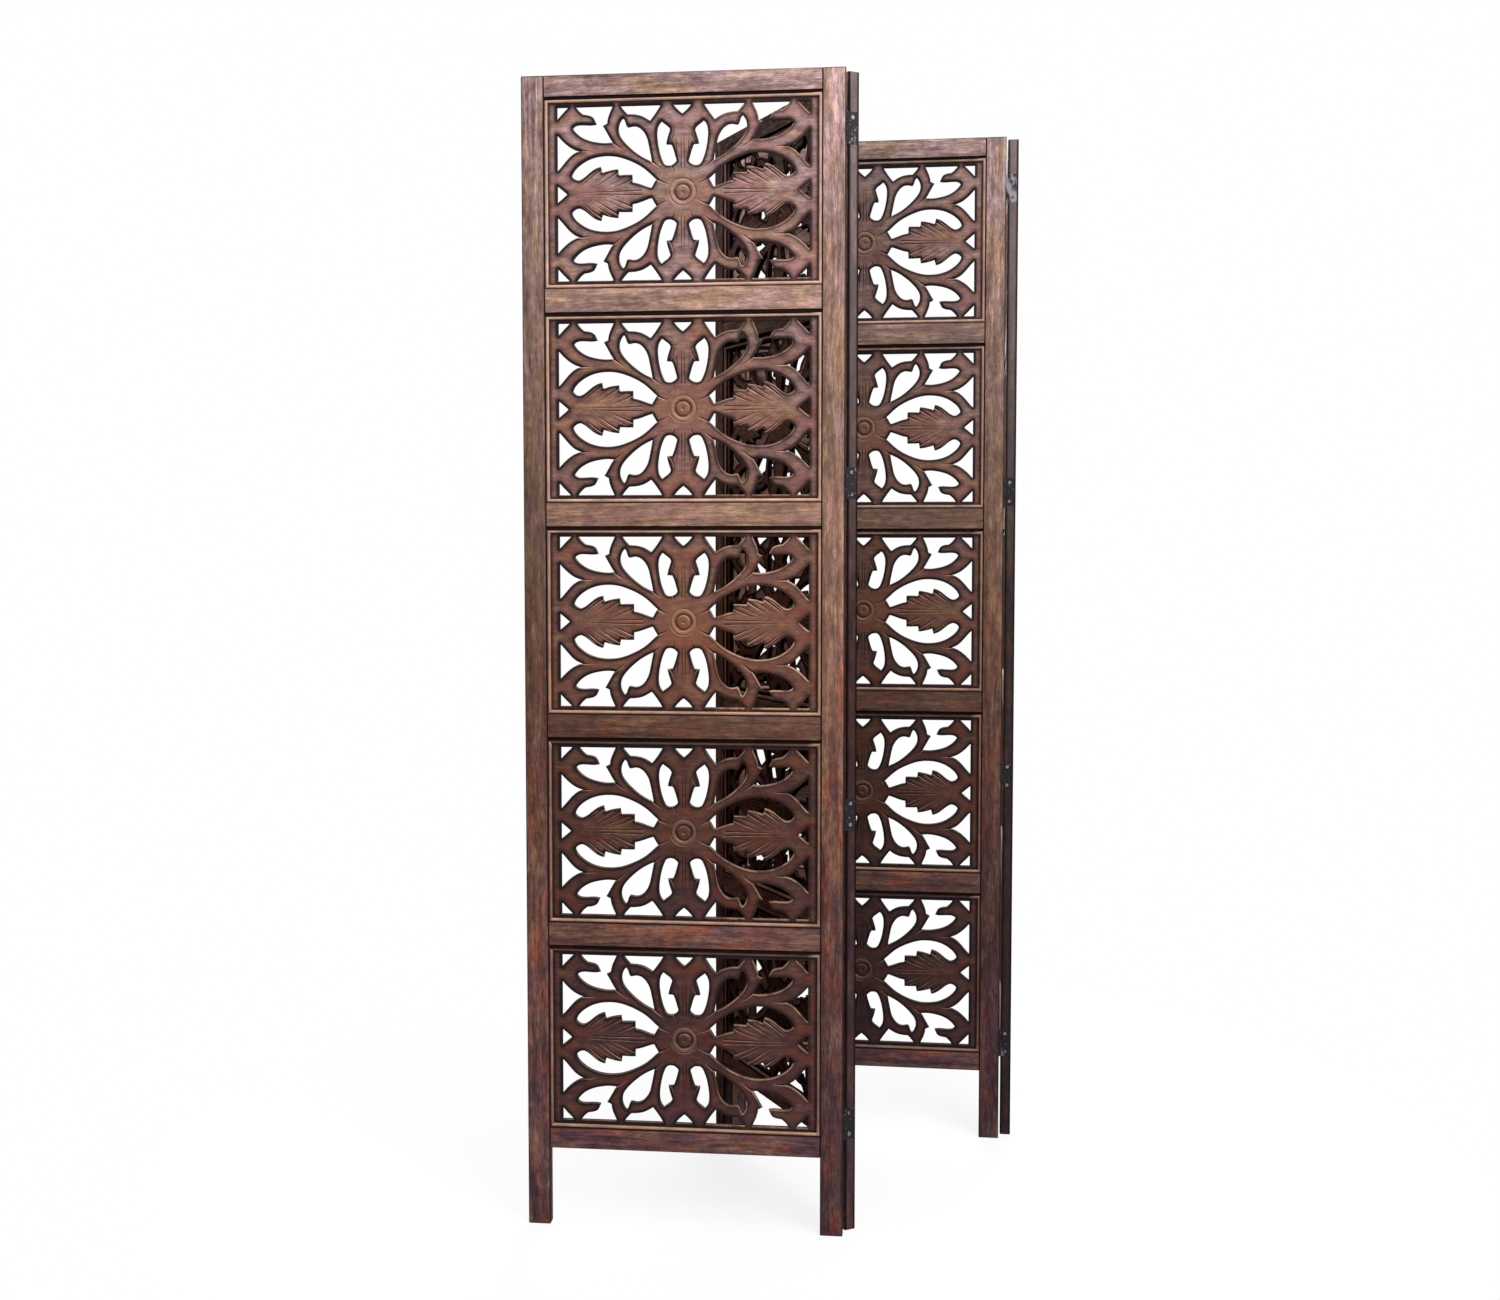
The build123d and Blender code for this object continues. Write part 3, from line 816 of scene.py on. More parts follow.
def roughen_beads(bm, settings, name, paleness):
    """Divides the strips along their length and lets the ridge wander a little."""
    long_edges = [edge for edge in bm.edges if edge.calc_length() > STRIP_EDGE]
    bmesh.ops.subdivide_edges(bm, edges=long_edges, cuts=settings.divisions, use_grid_fill=True)
    ridge = bm.verts.layers.float.new("ridge")
    seed = grain_offset(name)
    sides = {vert: strip_side(face) for face in bm.faces for vert in face.verts}
    for vert in bm.verts:
        side = sides[vert]
        inset = min(HALF_OPENING - abs(vert.co.x), HALF_HEIGHT - abs(vert.co.z))
        share = inset / (BEAD_WIDTH * MM)
        start = TOP_RIDGE_START if side == "top" else RIDGE_START
        rubbed = clamped(min(share - start, 1 - share) / RIDGE_FADE)
        # The paleness of each side is partly painted light and painted shade
        vert[ridge] = rubbed * paleness.get(side, 1.0)
        if WAVERING[0] < share < WAVERING[1]:
            waver = noise.noise(vert.co * LONG_WAVES + seed)
            waver += noise.noise(vert.co * SHORT_WAVES + seed) / 2
            vert.co.y += settings.wobble * waver
            if side == "top":
                vert.co.y += settings.top_groove * clamped(1 - share / GROOVE_REACH)


def note_bead_grain(bm, name):
    """Grain runs along each strip: across the opening, or up it at the sides."""
    note_grain(bm, (0, 1, 2), name)
    grain = bm.verts.layers.float_vector["grain"]
    offset = grain_offset(name)
    upright = {vert for face in bm.faces if strip_side(face) == "side" for vert in face.verts}
    for vert in upright:
        vert[grain] = Vector((vert.co.z, vert.co.y, vert.co.x)) + offset


# The carving. Cuts are drawn on the quarter of a board with x and z above 0, in millimetres from
# its middle: four points of a curve, then half the width and the depth of the V at its start.
LEAF_VEINS = (
    ((91.0, 24.5), (102.0, 19.0), (116.0, 12.5), (132.0, 6.0), 1.1, 0.8),
    ((114.5, 33.0), (125.0, 26.5), (138.0, 18.0), (153.0, 9.0), 1.2, 0.9),
    ((141.0, 32.5), (149.0, 27.0), (157.0, 20.0), (166.0, 11.0), 1.2, 0.9),
    ((80.5, 21.0), (92.0, 16.0), (106.0, 9.5), (122.0, 4.5), 1.7, 1.4),
    ((101.5, 32.5), (114.0, 25.5), (128.0, 15.5), (144.0, 7.0), 1.9, 1.5),
    ((127.5, 36.5), (138.0, 31.0), (150.0, 21.0), (162.0, 9.5), 1.9, 1.5),
    ((66.0, 3.4), (95.0, 2.6), (135.0, 2.2), (172.0, 1.8), 1.3, 1.2),
)
PALMETTE_VEINS = (
    ((2.6, 40.0), (2.2, 60.0), (2.4, 80.0), (1.6, 108.0), 1.2, 0.9),
    ((10.0, 52.0), (9.5, 64.0), (8.5, 76.0), (11.5, 92.0), 1.3, 1.0),
    ((21.5, 74.5), (15.0, 82.0), (12.0, 92.0), (14.0, 104.0), 1.5, 1.1),
)
STEM_CUTS = (
    ((110.5, 79.0), (104.0, 74.5), (97.0, 69.0), (89.0, 63.5), 1.9, 1.5),
    ((48.5, 48.5), (43.0, 44.0), (38.0, 40.0), (32.0, 35.5), 1.8, 1.4),
    ((41.5, 20.5), (34.0, 17.0), (27.0, 14.0), (19.5, 11.0), 1.8, 1.4),
    ((162.5, 66.5), (157.0, 66.8), (150.0, 66.8), (141.0, 65.5), 1.8, 1.3),
    ((17.0, 42.0), (15.5, 38.0), (14.0, 34.0), (12.0, 29.0), 1.5, 1.1),
)
CUTS = LEAF_VEINS + PALMETTE_VEINS + STEM_CUTS
# The rosette's section: distance from its middle and depth below the board's face
ROSETTE = (
    (0.0, 1.3),
    (2.2, 1.2),
    (3.2, 0.2),
    (6.0, 0.0),
    (8.6, 0.2),
    (10.0, 0.8),
    (11.2, 2.2),
    (13.2, 2.2),
    (14.6, 0.8),
    (16.2, 0.05),
    (18.6, 0.05),
    (20.0, 0.9),
    (21.2, 1.2),
    (22.4, 0.1),
)
# Where the rosette's raised ring lies, which the shader lays paler as wear and painted highlight
ROSETTE_CREST = (14.8, 19.6)
ROSETTE_RADIUS = ROSETTE[-1][0]
ROSETTE_EDGE = 18.0 * MM
# Where a leaf starts and ends along x, how fast its hollow fades there, and where the hollow lies
LEAF_START, LEAF_END = 62, 172
LEAF_FADE = 25
HOLLOW_START, HOLLOW_WIDTH = 3, 24
# How far the warm middle of a board and the marks of an opening's rim reach, in millimetres
HEART_REACH = (190, 135)
RIM_REACH = 20.0
# Where the painted shadow beside a bead starts to fade, and over what width
HEM_START, HEM_WIDTH = 2.0, 3.5
# How grimy the rosette is: from what depth, over what depth it grows, and how far at most
ROSETTE_GRIME = (0.3, 2.4, 0.7)
# The width that a cut keeps at its far end, as a share
CUT_END = 0.12
# The least that stands for the square of a corner's mean direction, so that the rim of a sharp
# corner stays near it, and how much nearer an opening's edge the rim's first line is
SHARPEST = 0.25
INNER_RIM = 0.4
# The height of the unevenness that a gouge leaves varies with this many waves to a metre
GOUGE_WAVES = 60
# How far the spread points of the face keep from rims and the rosette, and from cuts, and how far
# apart their rows are, as a share of the spacing along a row
GROUND_MARGIN = 1.0
CUT_MARGIN = 1.2
ROW_SPACING = 0.866
# How finely the rosette is divided: steps to a quarter circle for each mm of its radius, and the
# spacing along its spokes
ARC_STEPS_PER_MM = 1.1
SPOKE_SPACING = 1.5
# Points of the drawing nearer than the first are one, and triangles that lie within the second of
# a mirror line are left out
DRAWING_MERGE = 0.0005
SLIVER = 0.01


class Cut:
    """One V cut: a smooth centre line whose width and depth run out towards its far end."""

    def __init__(self, start, first, second, end, half_width, depth, steps=9):
        points = [Vector((x, z, 0)) for x, z in (start, first, second, end)]
        self.line = [point.to_2d() for point in interpolate_bezier(*points, steps)]
        taper = [1 - (step / (steps - 1)) ** 2 for step in range(steps)]
        self.widths = [half_width * max(share, CUT_END) for share in taper]
        self.depths = [depth * share for share in taper]

    def sides(self):
        """The shoulder lines on both sides of the centre line."""
        left, right = [], []
        for index, point in enumerate(self.line):
            before = self.line[max(index - 1, 0)]
            after = self.line[min(index + 1, len(self.line) - 1)]
            heading = (after - before).normalized()
            across = Vector((-heading.y, heading.x)) * self.widths[index]
            left.append(point + across)
            right.append(point - across)
        return left, right

    def at(self, point):
        """How deep the cut is at a point, and how near the point is to its line, from 0 to 1."""
        deepest, nearest = 0.0, 0.0
        for index in range(len(self.line) - 1):
            start, end = self.line[index], self.line[index + 1]
            run = end - start
            share = clamped((point - start).dot(run) / run.length_squared)
            away = (point - start - run * share).length
            width = self.widths[index] * (1 - share) + self.widths[index + 1] * share
            if away < width:
                depth = self.depths[index] * (1 - share) + self.depths[index + 1] * share
                deepest = max(deepest, depth * (1 - away / width))
                nearest = max(nearest, 1 - away / width)
        return deepest, nearest

    def clear_of(self, point, margin):
        """Whether a point lies further from the line than the cut's width and a margin."""
        return all((point - place).length > self.widths[0] + margin for place in self.line)


def flat(point):
    """A place on the face in millimetres, as x and z."""
    return Vector((point.x, point.z)) / MM


def solid(place):
    """A place on the face, from its x and z in millimetres."""
    return Vector((place.x * MM, BOARD_LOW.y, place.y * MM))


def on_mirror_line(edge):
    """Whether an edge lies on one of the lines that the quarter is mirrored about."""
    return any(all(abs(vert.co[axis]) < TOUCHING for vert in edge.verts) for axis in (0, 2))


def is_outer(point):
    """Whether a point lies on the outer edge of a board."""
    return min(BOARD_HALF.x - abs(point.x), BOARD_HALF.z - abs(point.z)) < 0.1 * MM


def front_quarter(bm):
    """Leaves one quarter of the front face of a board."""
    others = [
        face
        for face in bm.faces
        if face.normal.y > -SQUARE_ON or abs(face.calc_center_median().y - BOARD_LOW.y) > TOUCHING
    ]
    bmesh.ops.delete(bm, geom=others, context="FACES")
    for normal in ((1, 0, 0), (0, 0, 1)):
        slice_at(bm, (0, 0, 0), normal, clear_inner=True)


def opening_walls(bm):
    """A tree of the walls of the openings, for the distance from any place on the face."""
    points, faces = [], []
    for face in bm.faces:
        middle = face.calc_center_median()
        if abs(face.normal.y) < 0.1 and not is_outer(middle) and middle.xz.length > ROSETTE_EDGE:
            faces.append([len(points) + number for number in range(len(face.verts))])
            points += [vert.co.copy() for vert in face.verts]
    return BVHTree.FromPolygons(points, faces)


class Drawing:
    """The points and lines on a quarter of a board's face that its triangles keep to."""

    def __init__(self):
        self.points = []
        self.lines = []
        self.outline_lines = 0

    def line(self, places):
        """Adds a line through places."""
        first = len(self.points)
        self.points += places
        self.lines += [(first + number, first + number + 1) for number in range(len(places) - 1)]

    def run(self, start, end, spacing):
        """Adds a straight line that is divided evenly."""
        parts = max(1, round((end - start).length / spacing))
        self.line([start.lerp(end, part / parts) for part in range(parts + 1)])


def draw_outline(drawing, bm, settings):
    """Adds the outline of the quarter and the rounded rims inside its openings."""
    sums, rims = {}, []
    for edge in boundary(bm):
        first, second = edge.verts
        if max(first.co.xz.length, second.co.xz.length) < ROSETTE_EDGE:
            continue
        drawing.run(flat(first.co), flat(second.co), settings.outline_spacing)
        if on_mirror_line(edge) or (is_outer(first.co) and is_outer(second.co)):
            continue
        run = flat(second.co) - flat(first.co)
        inward = Vector((-run.y, run.x)).normalized()
        if inward.dot(flat(edge.link_faces[0].calc_center_median()) - flat(first.co)) < 0:
            inward = -inward
        rims.append((first, second))
        for vert in (first, second):
            sums.setdefault(vert, []).append(inward)
    drawing.outline_lines = len(drawing.lines)
    for width in (INNER_RIM * settings.arris_width, settings.arris_width):
        for first, second in rims:
            ends = [rim_point(vert, sums[vert], width) for vert in (first, second)]
            drawing.run(*ends, settings.outline_spacing)


def rim_point(vert, normals, width):
    """The place inside an outline's corner that is as far from both of its edges as the width."""
    mean = sum(normals, Vector((0, 0))) / len(normals)
    place = flat(vert.co) + mean * width / max(mean.length_squared, SHARPEST)
    if abs(vert.co.x) < TOUCHING:
        place.x = 0
    if abs(vert.co.z) < TOUCHING:
        place.y = 0
    return place


def draw_cuts(drawing, cuts):
    """Adds the lines of the cuts and their shoulders, and the rosette's circles and spokes."""
    for cut in cuts:
        for line in (cut.line, *cut.sides()):
            drawing.line([Vector((max(point.x, 0), max(point.y, 0))) for point in line])
    for radius, _ in ROSETTE[1:]:
        steps = max(4, round(radius * ARC_STEPS_PER_MM))
        turns = [pi / 2 * step / steps for step in range(steps + 1)]
        drawing.line([Vector((radius * cos(turn), radius * sin(turn))) for turn in turns])
    for corner in (Vector((ROSETTE_RADIUS, 0)), Vector((0, ROSETTE_RADIUS))):
        drawing.run(Vector((0, 0)), corner, SPOKE_SPACING)


def draw_ground(drawing, on_face, away_from_walls, cuts, settings):
    """Adds evenly spread points where the face has nothing else."""
    spacing = settings.ground_spacing
    row_height = spacing * ROW_SPACING
    corner = flat(BOARD_HALF)
    margin = settings.arris_width + GROUND_MARGIN
    for row in range(int(corner.y / row_height) + 1):
        for column in range(int(corner.x / spacing) + 1):
            across = (column + 0.5 * (row % 2)) * spacing + GROUND_MARGIN
            place = Vector((across, row * row_height + GROUND_MARGIN))
            if place.length < ROSETTE_RADIUS + GROUND_MARGIN or not on_face(place):
                continue
            clear = all(cut.clear_of(place, CUT_MARGIN) for cut in cuts)
            if clear and away_from_walls(place) > margin:
                drawing.points.append(place)


def carving_depth(point, away, cuts, settings):
    """The depth of the face and of its V cuts in millimetres, and the nearness to a cut's line."""
    from_middle = point.length
    if from_middle < ROSETTE_RADIUS:
        depth = on_section(ROSETTE, from_middle)
        start, growth, most = ROSETTE_GRIME
        return depth, 0.0, min(most, max(0.0, (depth - start) / growth))
    arris = 1 - min(1.0, away / settings.arris_width)
    crown = 1 - min(1.0, away / settings.crown_width)
    leaf = clamped((point.x - LEAF_START) / LEAF_FADE) * clamped((LEAF_END - point.x) / LEAF_FADE)
    dish = sin(pi * clamped((point.y - HOLLOW_START) / HOLLOW_WIDTH))
    depth = settings.arris_depth * arris**2 + settings.crown_depth * crown**2
    depth += settings.leaf_dish * leaf * dish
    reached = [cut.at(point) for cut in cuts]
    return depth, max(deep for deep, _ in reached), max(near for _, near in reached)


def islands(bm, borders):
    """Lists of the faces that are joined without crossing a border."""
    left = dict.fromkeys(bm.faces)
    groups = []
    while left:
        group = [left.popitem()[0]]
        for face in group:
            for edge in face.edges:
                if edge not in borders:
                    fresh = [other for other in edge.link_faces if other in left]
                    group += fresh
                    for other in fresh:
                        del left[other]
        groups.append(group)
    return groups


def carved_verts(bm, places, away_from_walls, cuts, settings):
    """The face's vertices at their carved depth, with what the shader reads kept on each."""
    kept = {key: bm.verts.layers.float.new(key) for key in ("rim", "cut", "heart", "hem", "crest")}
    bead_edge = Vector((HALF_OPENING, HALF_HEIGHT)) / MM
    verts = []
    for place in places:
        away = away_from_walls(place)
        depth, v_cut, nearness = carving_depth(place, away, cuts, settings)
        vert = bm.verts.new((place.x * MM, BOARD_LOW.y + (depth + v_cut) * MM, place.y * MM))
        to_bead = min(bead_edge.x - place.x, bead_edge.y - place.y) - BEAD_WIDTH
        vert[kept["rim"]] = min(away, RIM_REACH) * MM
        vert[kept["hem"]] = clamped(1 - (to_bead - HEM_START) / HEM_WIDTH)
        vert[kept["cut"]] = nearness
        vert[kept["crest"]] = float(ROSETTE_CREST[0] < place.length < ROSETTE_CREST[1])
        out = Vector((place.x / HEART_REACH[0], place.y / HEART_REACH[1])).length
        vert[kept["heart"]] = max(0.0, 1 - out)
        verts.append(vert)
    return verts


def complete_board(bm):
    """Draws the walls back to the middle of the board and mirrors the quarter three times."""
    open_edges = [edge for edge in boundary(bm) if not on_mirror_line(edge)]
    for item in bmesh.ops.extrude_edge_only(bm, edges=open_edges)["geom"]:
        if isinstance(item, bmesh.types.BMVert):
            item.co.y = 0
        elif isinstance(item, bmesh.types.BMFace):
            item.material_index = 1
    for axis in "XZY":
        whole = bm.verts[:] + bm.edges[:] + bm.faces[:]
        bmesh.ops.mirror(bm, geom=whole, matrix=Matrix(), merge_dist=MERGING, axis=axis)
    seam = [edge for edge in bm.edges if all(abs(vert.co.y) < MERGING for vert in edge.verts)]
    bmesh.ops.dissolve_edges(bm, edges=seam, use_verts=True)
    bmesh.ops.recalc_face_normals(bm, faces=bm.faces)


def carve_board(settings):
    """A carved board about the middle of its opening: a quarter of a face, mirrored three times."""
    name = f"{FIRST}_jali_{ROWS[0]}"
    outline = copied(name, FIRST_PLACE)
    bmesh.ops.translate(outline, vec=(0, 0, -node_middle(name).z), verts=outline.verts)
    walls = opening_walls(outline)
    front_quarter(outline)
    face_tree = BVHTree.FromBMesh(outline)
    spread, deepened = settings.cut_width, settings.cut_depth
    cuts = [Cut(*line[:4], line[4] * spread, line[5] * deepened) for line in CUTS]

    def on_face(place):
        in_rosette = place.length < ROSETTE_EDGE / MM
        return in_rosette or face_tree.find_nearest(solid(place))[3] < TOUCHING

    def away_from_walls(place):
        return walls.find_nearest(solid(place))[3] / MM

    drawing = Drawing()
    draw_outline(drawing, outline, settings)
    draw_cuts(drawing, cuts)
    draw_ground(drawing, on_face, away_from_walls, cuts, settings)
    outline.free()
    places, edges, triangles, _, sources, _ = delaunay_2d_cdt(
        drawing.points, drawing.lines, [], 0, DRAWING_MERGE
    )
    bm = bmesh.new()
    verts = carved_verts(bm, places, away_from_walls, cuts, settings)
    for triangle in triangles:
        corners = [places[corner] for corner in triangle]
        if not any(max(place[axis] for place in corners) < SLIVER for axis in (0, 1)):
            bm.faces.new([verts[corner] for corner in triangle])
    borders = {
        bm.edges.get([verts[end] for end in ends])
        for ends, drawn_from in zip(edges, sources)
        if any(line < drawing.outline_lines for line in drawn_from)
    }
    for island in islands(bm, borders):
        largest = max(island, key=lambda face: face.calc_area())
        if not on_face(flat(largest.calc_center_median())):
            bmesh.ops.delete(bm, geom=island, context="FACES")
    bmesh.ops.delete(bm, geom=[vert for vert in bm.verts if not vert.link_faces], context="VERTS")
    complete_board(bm)
    mark_creases(bm, settings.crease_angle)
    return bm


def age_board(bm, panel, row, tool_marks):
    """Paints a highlight on the rims of the right half, paints a shadow across the board where a
    panel stands in another's shadow, and leaves the gouge's marks.
    """
    lit = bm.verts.layers.float.new("lit")
    shade = bm.verts.layers.float["shade"]
    # rubbed holds the strength of the painted highlight on the rims, which is kept as the lit
    # attribute
    rubbed = RIM_HIGHLIGHTS[panel][ROWS.index(row)] if panel in RIM_HIGHLIGHTS else 0.0
    # A painted shadow that darkens some panels' boards towards their middle
    middle, right = BOARD_SHADOW_FADES.get(panel, (1.0, 1.0))
    seed = grain_offset(f"{panel}_jali_{row}")
    for vert in bm.verts:
        across = vert.co.x / HALF_OPENING
        vert[lit] = rubbed * clamped((across - HIGHLIGHT_START) * HIGHLIGHT_GROWTH)
        vert[shade] *= middle + (right - middle) * max(0.0, across)
        uneven = noise.noise(vert.co * GOUGE_WAVES + seed) * tool_marks
        vert.co.y -= uneven if vert.co.y > 0 else -uneven


# Each lamp's place and the length of its sides
LAMPS = {
    "key": ((1.8, -3.0, 2.8), 2.0),
    "top": ((0.0, -0.9, 4.2), 2.4),
    "back": ((0.7, 3.4, 2.6), 2.4),
}


# What a user would change
def number(name, description, default, **limits):
    """A plain number, or one with a unit."""
    return bpy.props.FloatProperty(name=name, description=description, default=default, **limits)


def length(name, description, default):
    """A length in metres."""
    return number(name, description, default, unit="LENGTH", min=0.0, precision=4)


def amount(name, description, default, low=0.0):
    """A number that isn't below a limit."""
    return number(name, description, default, min=low)


def power(name, description, default):
    """The power of a lamp."""
    return number(name, description, default, unit="POWER", min=0.0)


def tone(name, description, red, green, blue):
    """A colour, from 0 to 255 steps to the linear values that a shader takes."""
    steps = [value / 255 for value in (red, green, blue)]
    linear = [s / 12.92 if s <= 0.04045 else ((s + 0.055) / 1.055) ** 2.4 for s in steps]
    return bpy.props.FloatVectorProperty(
        name=name, description=description, default=linear, subtype="COLOR", size=3, min=0, max=1
    )


class ScreenTones(bpy.types.PropertyGroup):
    """The colours of the stain, of the bare wood and painted highlights, of the painted shade, and
    of the metal.
    """

    stain_low: tone("Low stain", "Stained wood near the floor", 87, 59, 65)
    stain_middle: tone("Middle stain", "Stained wood half way up", 118, 78, 61)
    # Lighter towards the top, partly fading and partly painted light from above
    stain_top: tone("Top stain", "Faded wood near the top", 168, 139, 138)
    russet: tone("Russet figure", "Red patches in the figure near the floor", 146, 72, 50)
    golden: tone("Golden figure", "Warm patches in the figure", 164, 130, 92)
    plum: tone("Plum figure", "Cool patches in the figure", 92, 66, 76)
    heart: tone("Carving's middle", "Warmer wood round the rosettes", 164, 106, 76)
    pore: tone("Pores", "Open pores of the wood", 46, 28, 24)
    # Also laid as painted highlight on upward arrises, lit rims, the rosette's ring and the beads'
    # ridges
    bare: tone("Bare wood", "Wood where the stain is rubbed off", 222, 176, 146)
    # Also laid as painted shade near the openings, on the boards low down and on the stiles' sides
    smoke: tone("Smoke", "Shading left near the openings", 52, 40, 43)
    weathered: tone("Weathered", "Grey sides of the stiles near the top", 122, 112, 114)
    # Also laid as painted shadow beside the beads, under the rails and along the stiles' corners
    grime: tone("Grime", "Stain that gathers in grooves and on sawn walls", 24, 15, 17)
    blackened: tone("Blackened metal", "Coating of the hinges", 26, 23, 27)
    rubbed_metal: tone("Rubbed metal", "Metal where the coating is gone", 124, 120, 126)
    zinc: tone("Zinc", "Plating of the screws", 138, 128, 134)


class ScreenTimbers(bpy.types.PropertyGroup):
    """How the stiles and rails are finished."""

    easing: length("Eased edge", "Rounding of the timbers' edges", 1.4 * MM)
    stile_skim: length("Stile skim", "Wood that sanding takes off a stile", 0.04 * MM)
    rail_skim: length("Rail skim", "Wood that sanding takes off a rail", 0.12 * MM)
    tenon_shoulder: length("Tenon shoulder", "Step from a rail to its tenon", 6.0 * MM)
    rebate_height: length("Rebate height", "Height of the rebate under a rail", 5.0 * MM)
    rebate_depth: length("Rebate depth", "Depth of the rebate under a rail", 2.5 * MM)


class ScreenBeads(bpy.types.PropertyGroup):
    """How the beads wander and how finely they are divided."""

    wobble: length("Wobble", "How far the hand-planed ridge wanders", 0.18 * MM)
    top_groove: length("Top groove", "Extra depth of the groove above an opening", 1.0 * MM)
    # The sides' ridges are dimmer than the bottom's as painted light, the bottom strip looking up
    # into the light
    side_paleness: amount("Side paleness", "How pale the ridge is at an opening's sides", 0.65)
    divisions: bpy.props.IntProperty(
        name="Divisions", description="Cuts along each strip", default=24, min=2
    )


class ScreenCarving(bpy.types.PropertyGroup):
    """Depths and widths of the carving, in millimetres."""

    arris_width: amount("Arris width", "Width of the rounded rim of an opening, mm", 1.4)
    arris_depth: amount("Arris depth", "Depth of the rounded rim of an opening, mm", 0.8)
    crown_width: amount("Crown width", "Distance over which the stems are crowned, mm", 6.0)
    crown_depth: amount("Crown depth", "Fall of the crowned stems, mm", 0.45)
    leaf_dish: amount("Leaf dish", "Hollow of each half of a leaf, mm", 0.8)
    cut_width: amount("Cut width", "How many times as wide as drawn the V cuts are", 1.3)
    cut_depth: amount("Cut depth", "How many times as deep as drawn the V cuts are", 1.2)
    outline_spacing: amount("Outline spacing", "Longest edge along an outline, mm", 4.0, 0.5)
    ground_spacing: amount("Ground spacing", "Spacing of the points on the face, mm", 4.2, 0.5)
    tool_marks: length("Tool marks", "Unevenness left by the gouge", 0.12 * MM)
    crease_angle: number(
        "Crease angle", "Edges that turn by more than this stay sharp", radians(26), subtype="ANGLE"
    )


class ScreenStage(bpy.types.PropertyGroup):
    """The floor, the light and the camera."""

    floor_size: length("Floor size", "Length of the floor's sides", 16.0)
    floor_colour: tone("Floor", "Colour of the floor", 250, 250, 250)
    floor_mottle: number("Floor mottle", "Grey of the floor's faint patches", 0.9, min=0, max=1)
    floor_bounce: tone("Floor bounce", "Colour of the light off the floor", 180, 176, 172)
    sky_strength: amount("Sky strength", "Light that comes from all round", 0.14)
    key_power: power("Key power", "Soft light from the front", 132.0)
    top_power: power("Top power", "Soft light from above", 96.0)
    back_power: power("Back power", "Soft light from behind", 150.0)
    camera_place: bpy.props.FloatVectorProperty(
        name="Camera place",
        description="Where the camera stands",
        default=(-0.1112, -3.0118, 1.1),
        subtype="TRANSLATION",
    )
    camera_pitch: number("Camera pitch", "Tilt below level", radians(3.107), subtype="ANGLE")
    lens: number("Lens", "Focal length on a 36 mm sensor", 39.123, unit="CAMERA")
    shift_x: number("Shift X", "Sideways shift", 0.0041)
    shift_y: number("Shift Y", "Upward shift", -0.0118)


# The pieces
class SCREEN_OT_stiles(bpy.types.Operator):
    """Ease the edges of the stiles and stain them"""

    bl_idname = "screen.stiles"
    bl_label = "Stiles"

    def execute(self, context):
        settings = context.scene.screen_timbers
        woods = finished(context.scene, "stained_timber", "stained_timber_edge")
        for panel in PANELS:
            for side in ("left", "right"):
                name = f"{panel}_{side}_stile"
                bm = timber_stile(name, PLACES[panel], settings.easing, settings.stile_skim)
                for level in SHADE_HEIGHTS[1:-1]:
                    slice_at(bm, (0, 0, level), UP)
                note_grain(bm, (2, 0, 1), name)
                edge_faces_second(bm, 0)
                mark_creases(bm, TIMBER_CREASE)
                settle(bm, f"{name}_timber", panel, woods, name)
        return {"FINISHED"}


class SCREEN_OT_rails(bpy.types.Operator):
    """Make the rails with eased edges and tenons, and stain them"""

    bl_idname = "screen.rails"
    bl_label = "Rails"

    def execute(self, context):
        settings = context.scene.screen_timbers
        woods = finished(context.scene, "stained_timber", "stained_timber_edge", "sawn_wall")
        for panel in PANELS:
            for group in ("bottom_rail", "middle_rails", "top_rail"):
                name = f"{panel}_{group}"
                bm = rail_group(name, PLACES[panel], settings)
                mark_creases(bm, TIMBER_CREASE)
                settle(bm, f"{name}_timber", panel, woods, name)
        return {"FINISHED"}


class SCREEN_OT_beading(bpy.types.Operator):
    """Make the moulded beads on both faces of every opening"""

    bl_idname = "screen.beading"
    bl_label = "Beading"

    def execute(self, context):
        settings = context.scene.screen_beads
        woods = finished(context.scene, "rubbed_bead")
        ring = bpy.data.meshes.new("bead_ring")
        for panel in PANELS:
            name = f"{panel}_beading"
            joined = bmesh.new()
            for row in ROWS:
                middle = node_middle(f"{panel}_jali_{row}").z
                paleness = ridge_paleness(panel, row, settings.side_paleness)
                for turn in (0, pi):
                    key = f"{name}_{row}_{turn:.0f}"
                    bm = bead_ring()
                    roughen_beads(bm, settings, key, paleness)
                    note_bead_grain(bm, key)
                    about = Matrix.Rotation(turn, 3, "Z")
                    bmesh.ops.rotate(bm, cent=(0, 0, 0), matrix=about, verts=bm.verts)
                    bmesh.ops.translate(bm, vec=(0, 0, middle), verts=bm.verts)
                    bm.to_mesh(ring)
                    bm.free()
                    joined.from_mesh(ring)
            bmesh.ops.recalc_face_normals(joined, faces=joined.faces)
            mark_creases(joined, BEAD_CREASE)
            settle(joined, f"{name}_strips", panel, woods, name)
        bpy.data.meshes.remove(ring)
        return {"FINISHED"}


class SCREEN_OT_fretwork(bpy.types.Operator):
    """Carve the boards and set one in every opening"""

    bl_idname = "screen.fretwork"
    bl_label = "Fretwork"

    def execute(self, context):
        settings = context.scene.screen_carving
        woods = finished(context.scene, "carved_face", "sawn_wall")
        master = carve_board(settings)
        for panel in PANELS:
            for row in ROWS:
                name = f"{panel}_jali_{row}"
                bm = master.copy()
                note_grain(bm, (0, 2, 1), name)
                age_board(bm, panel, row, settings.tool_marks)
                bmesh.ops.translate(bm, vec=(0, 0, node_middle(name).z), verts=bm.verts)
                settle(bm, f"{name}_board", panel, woods, name)
        master.free()
        return {"FINISHED"}


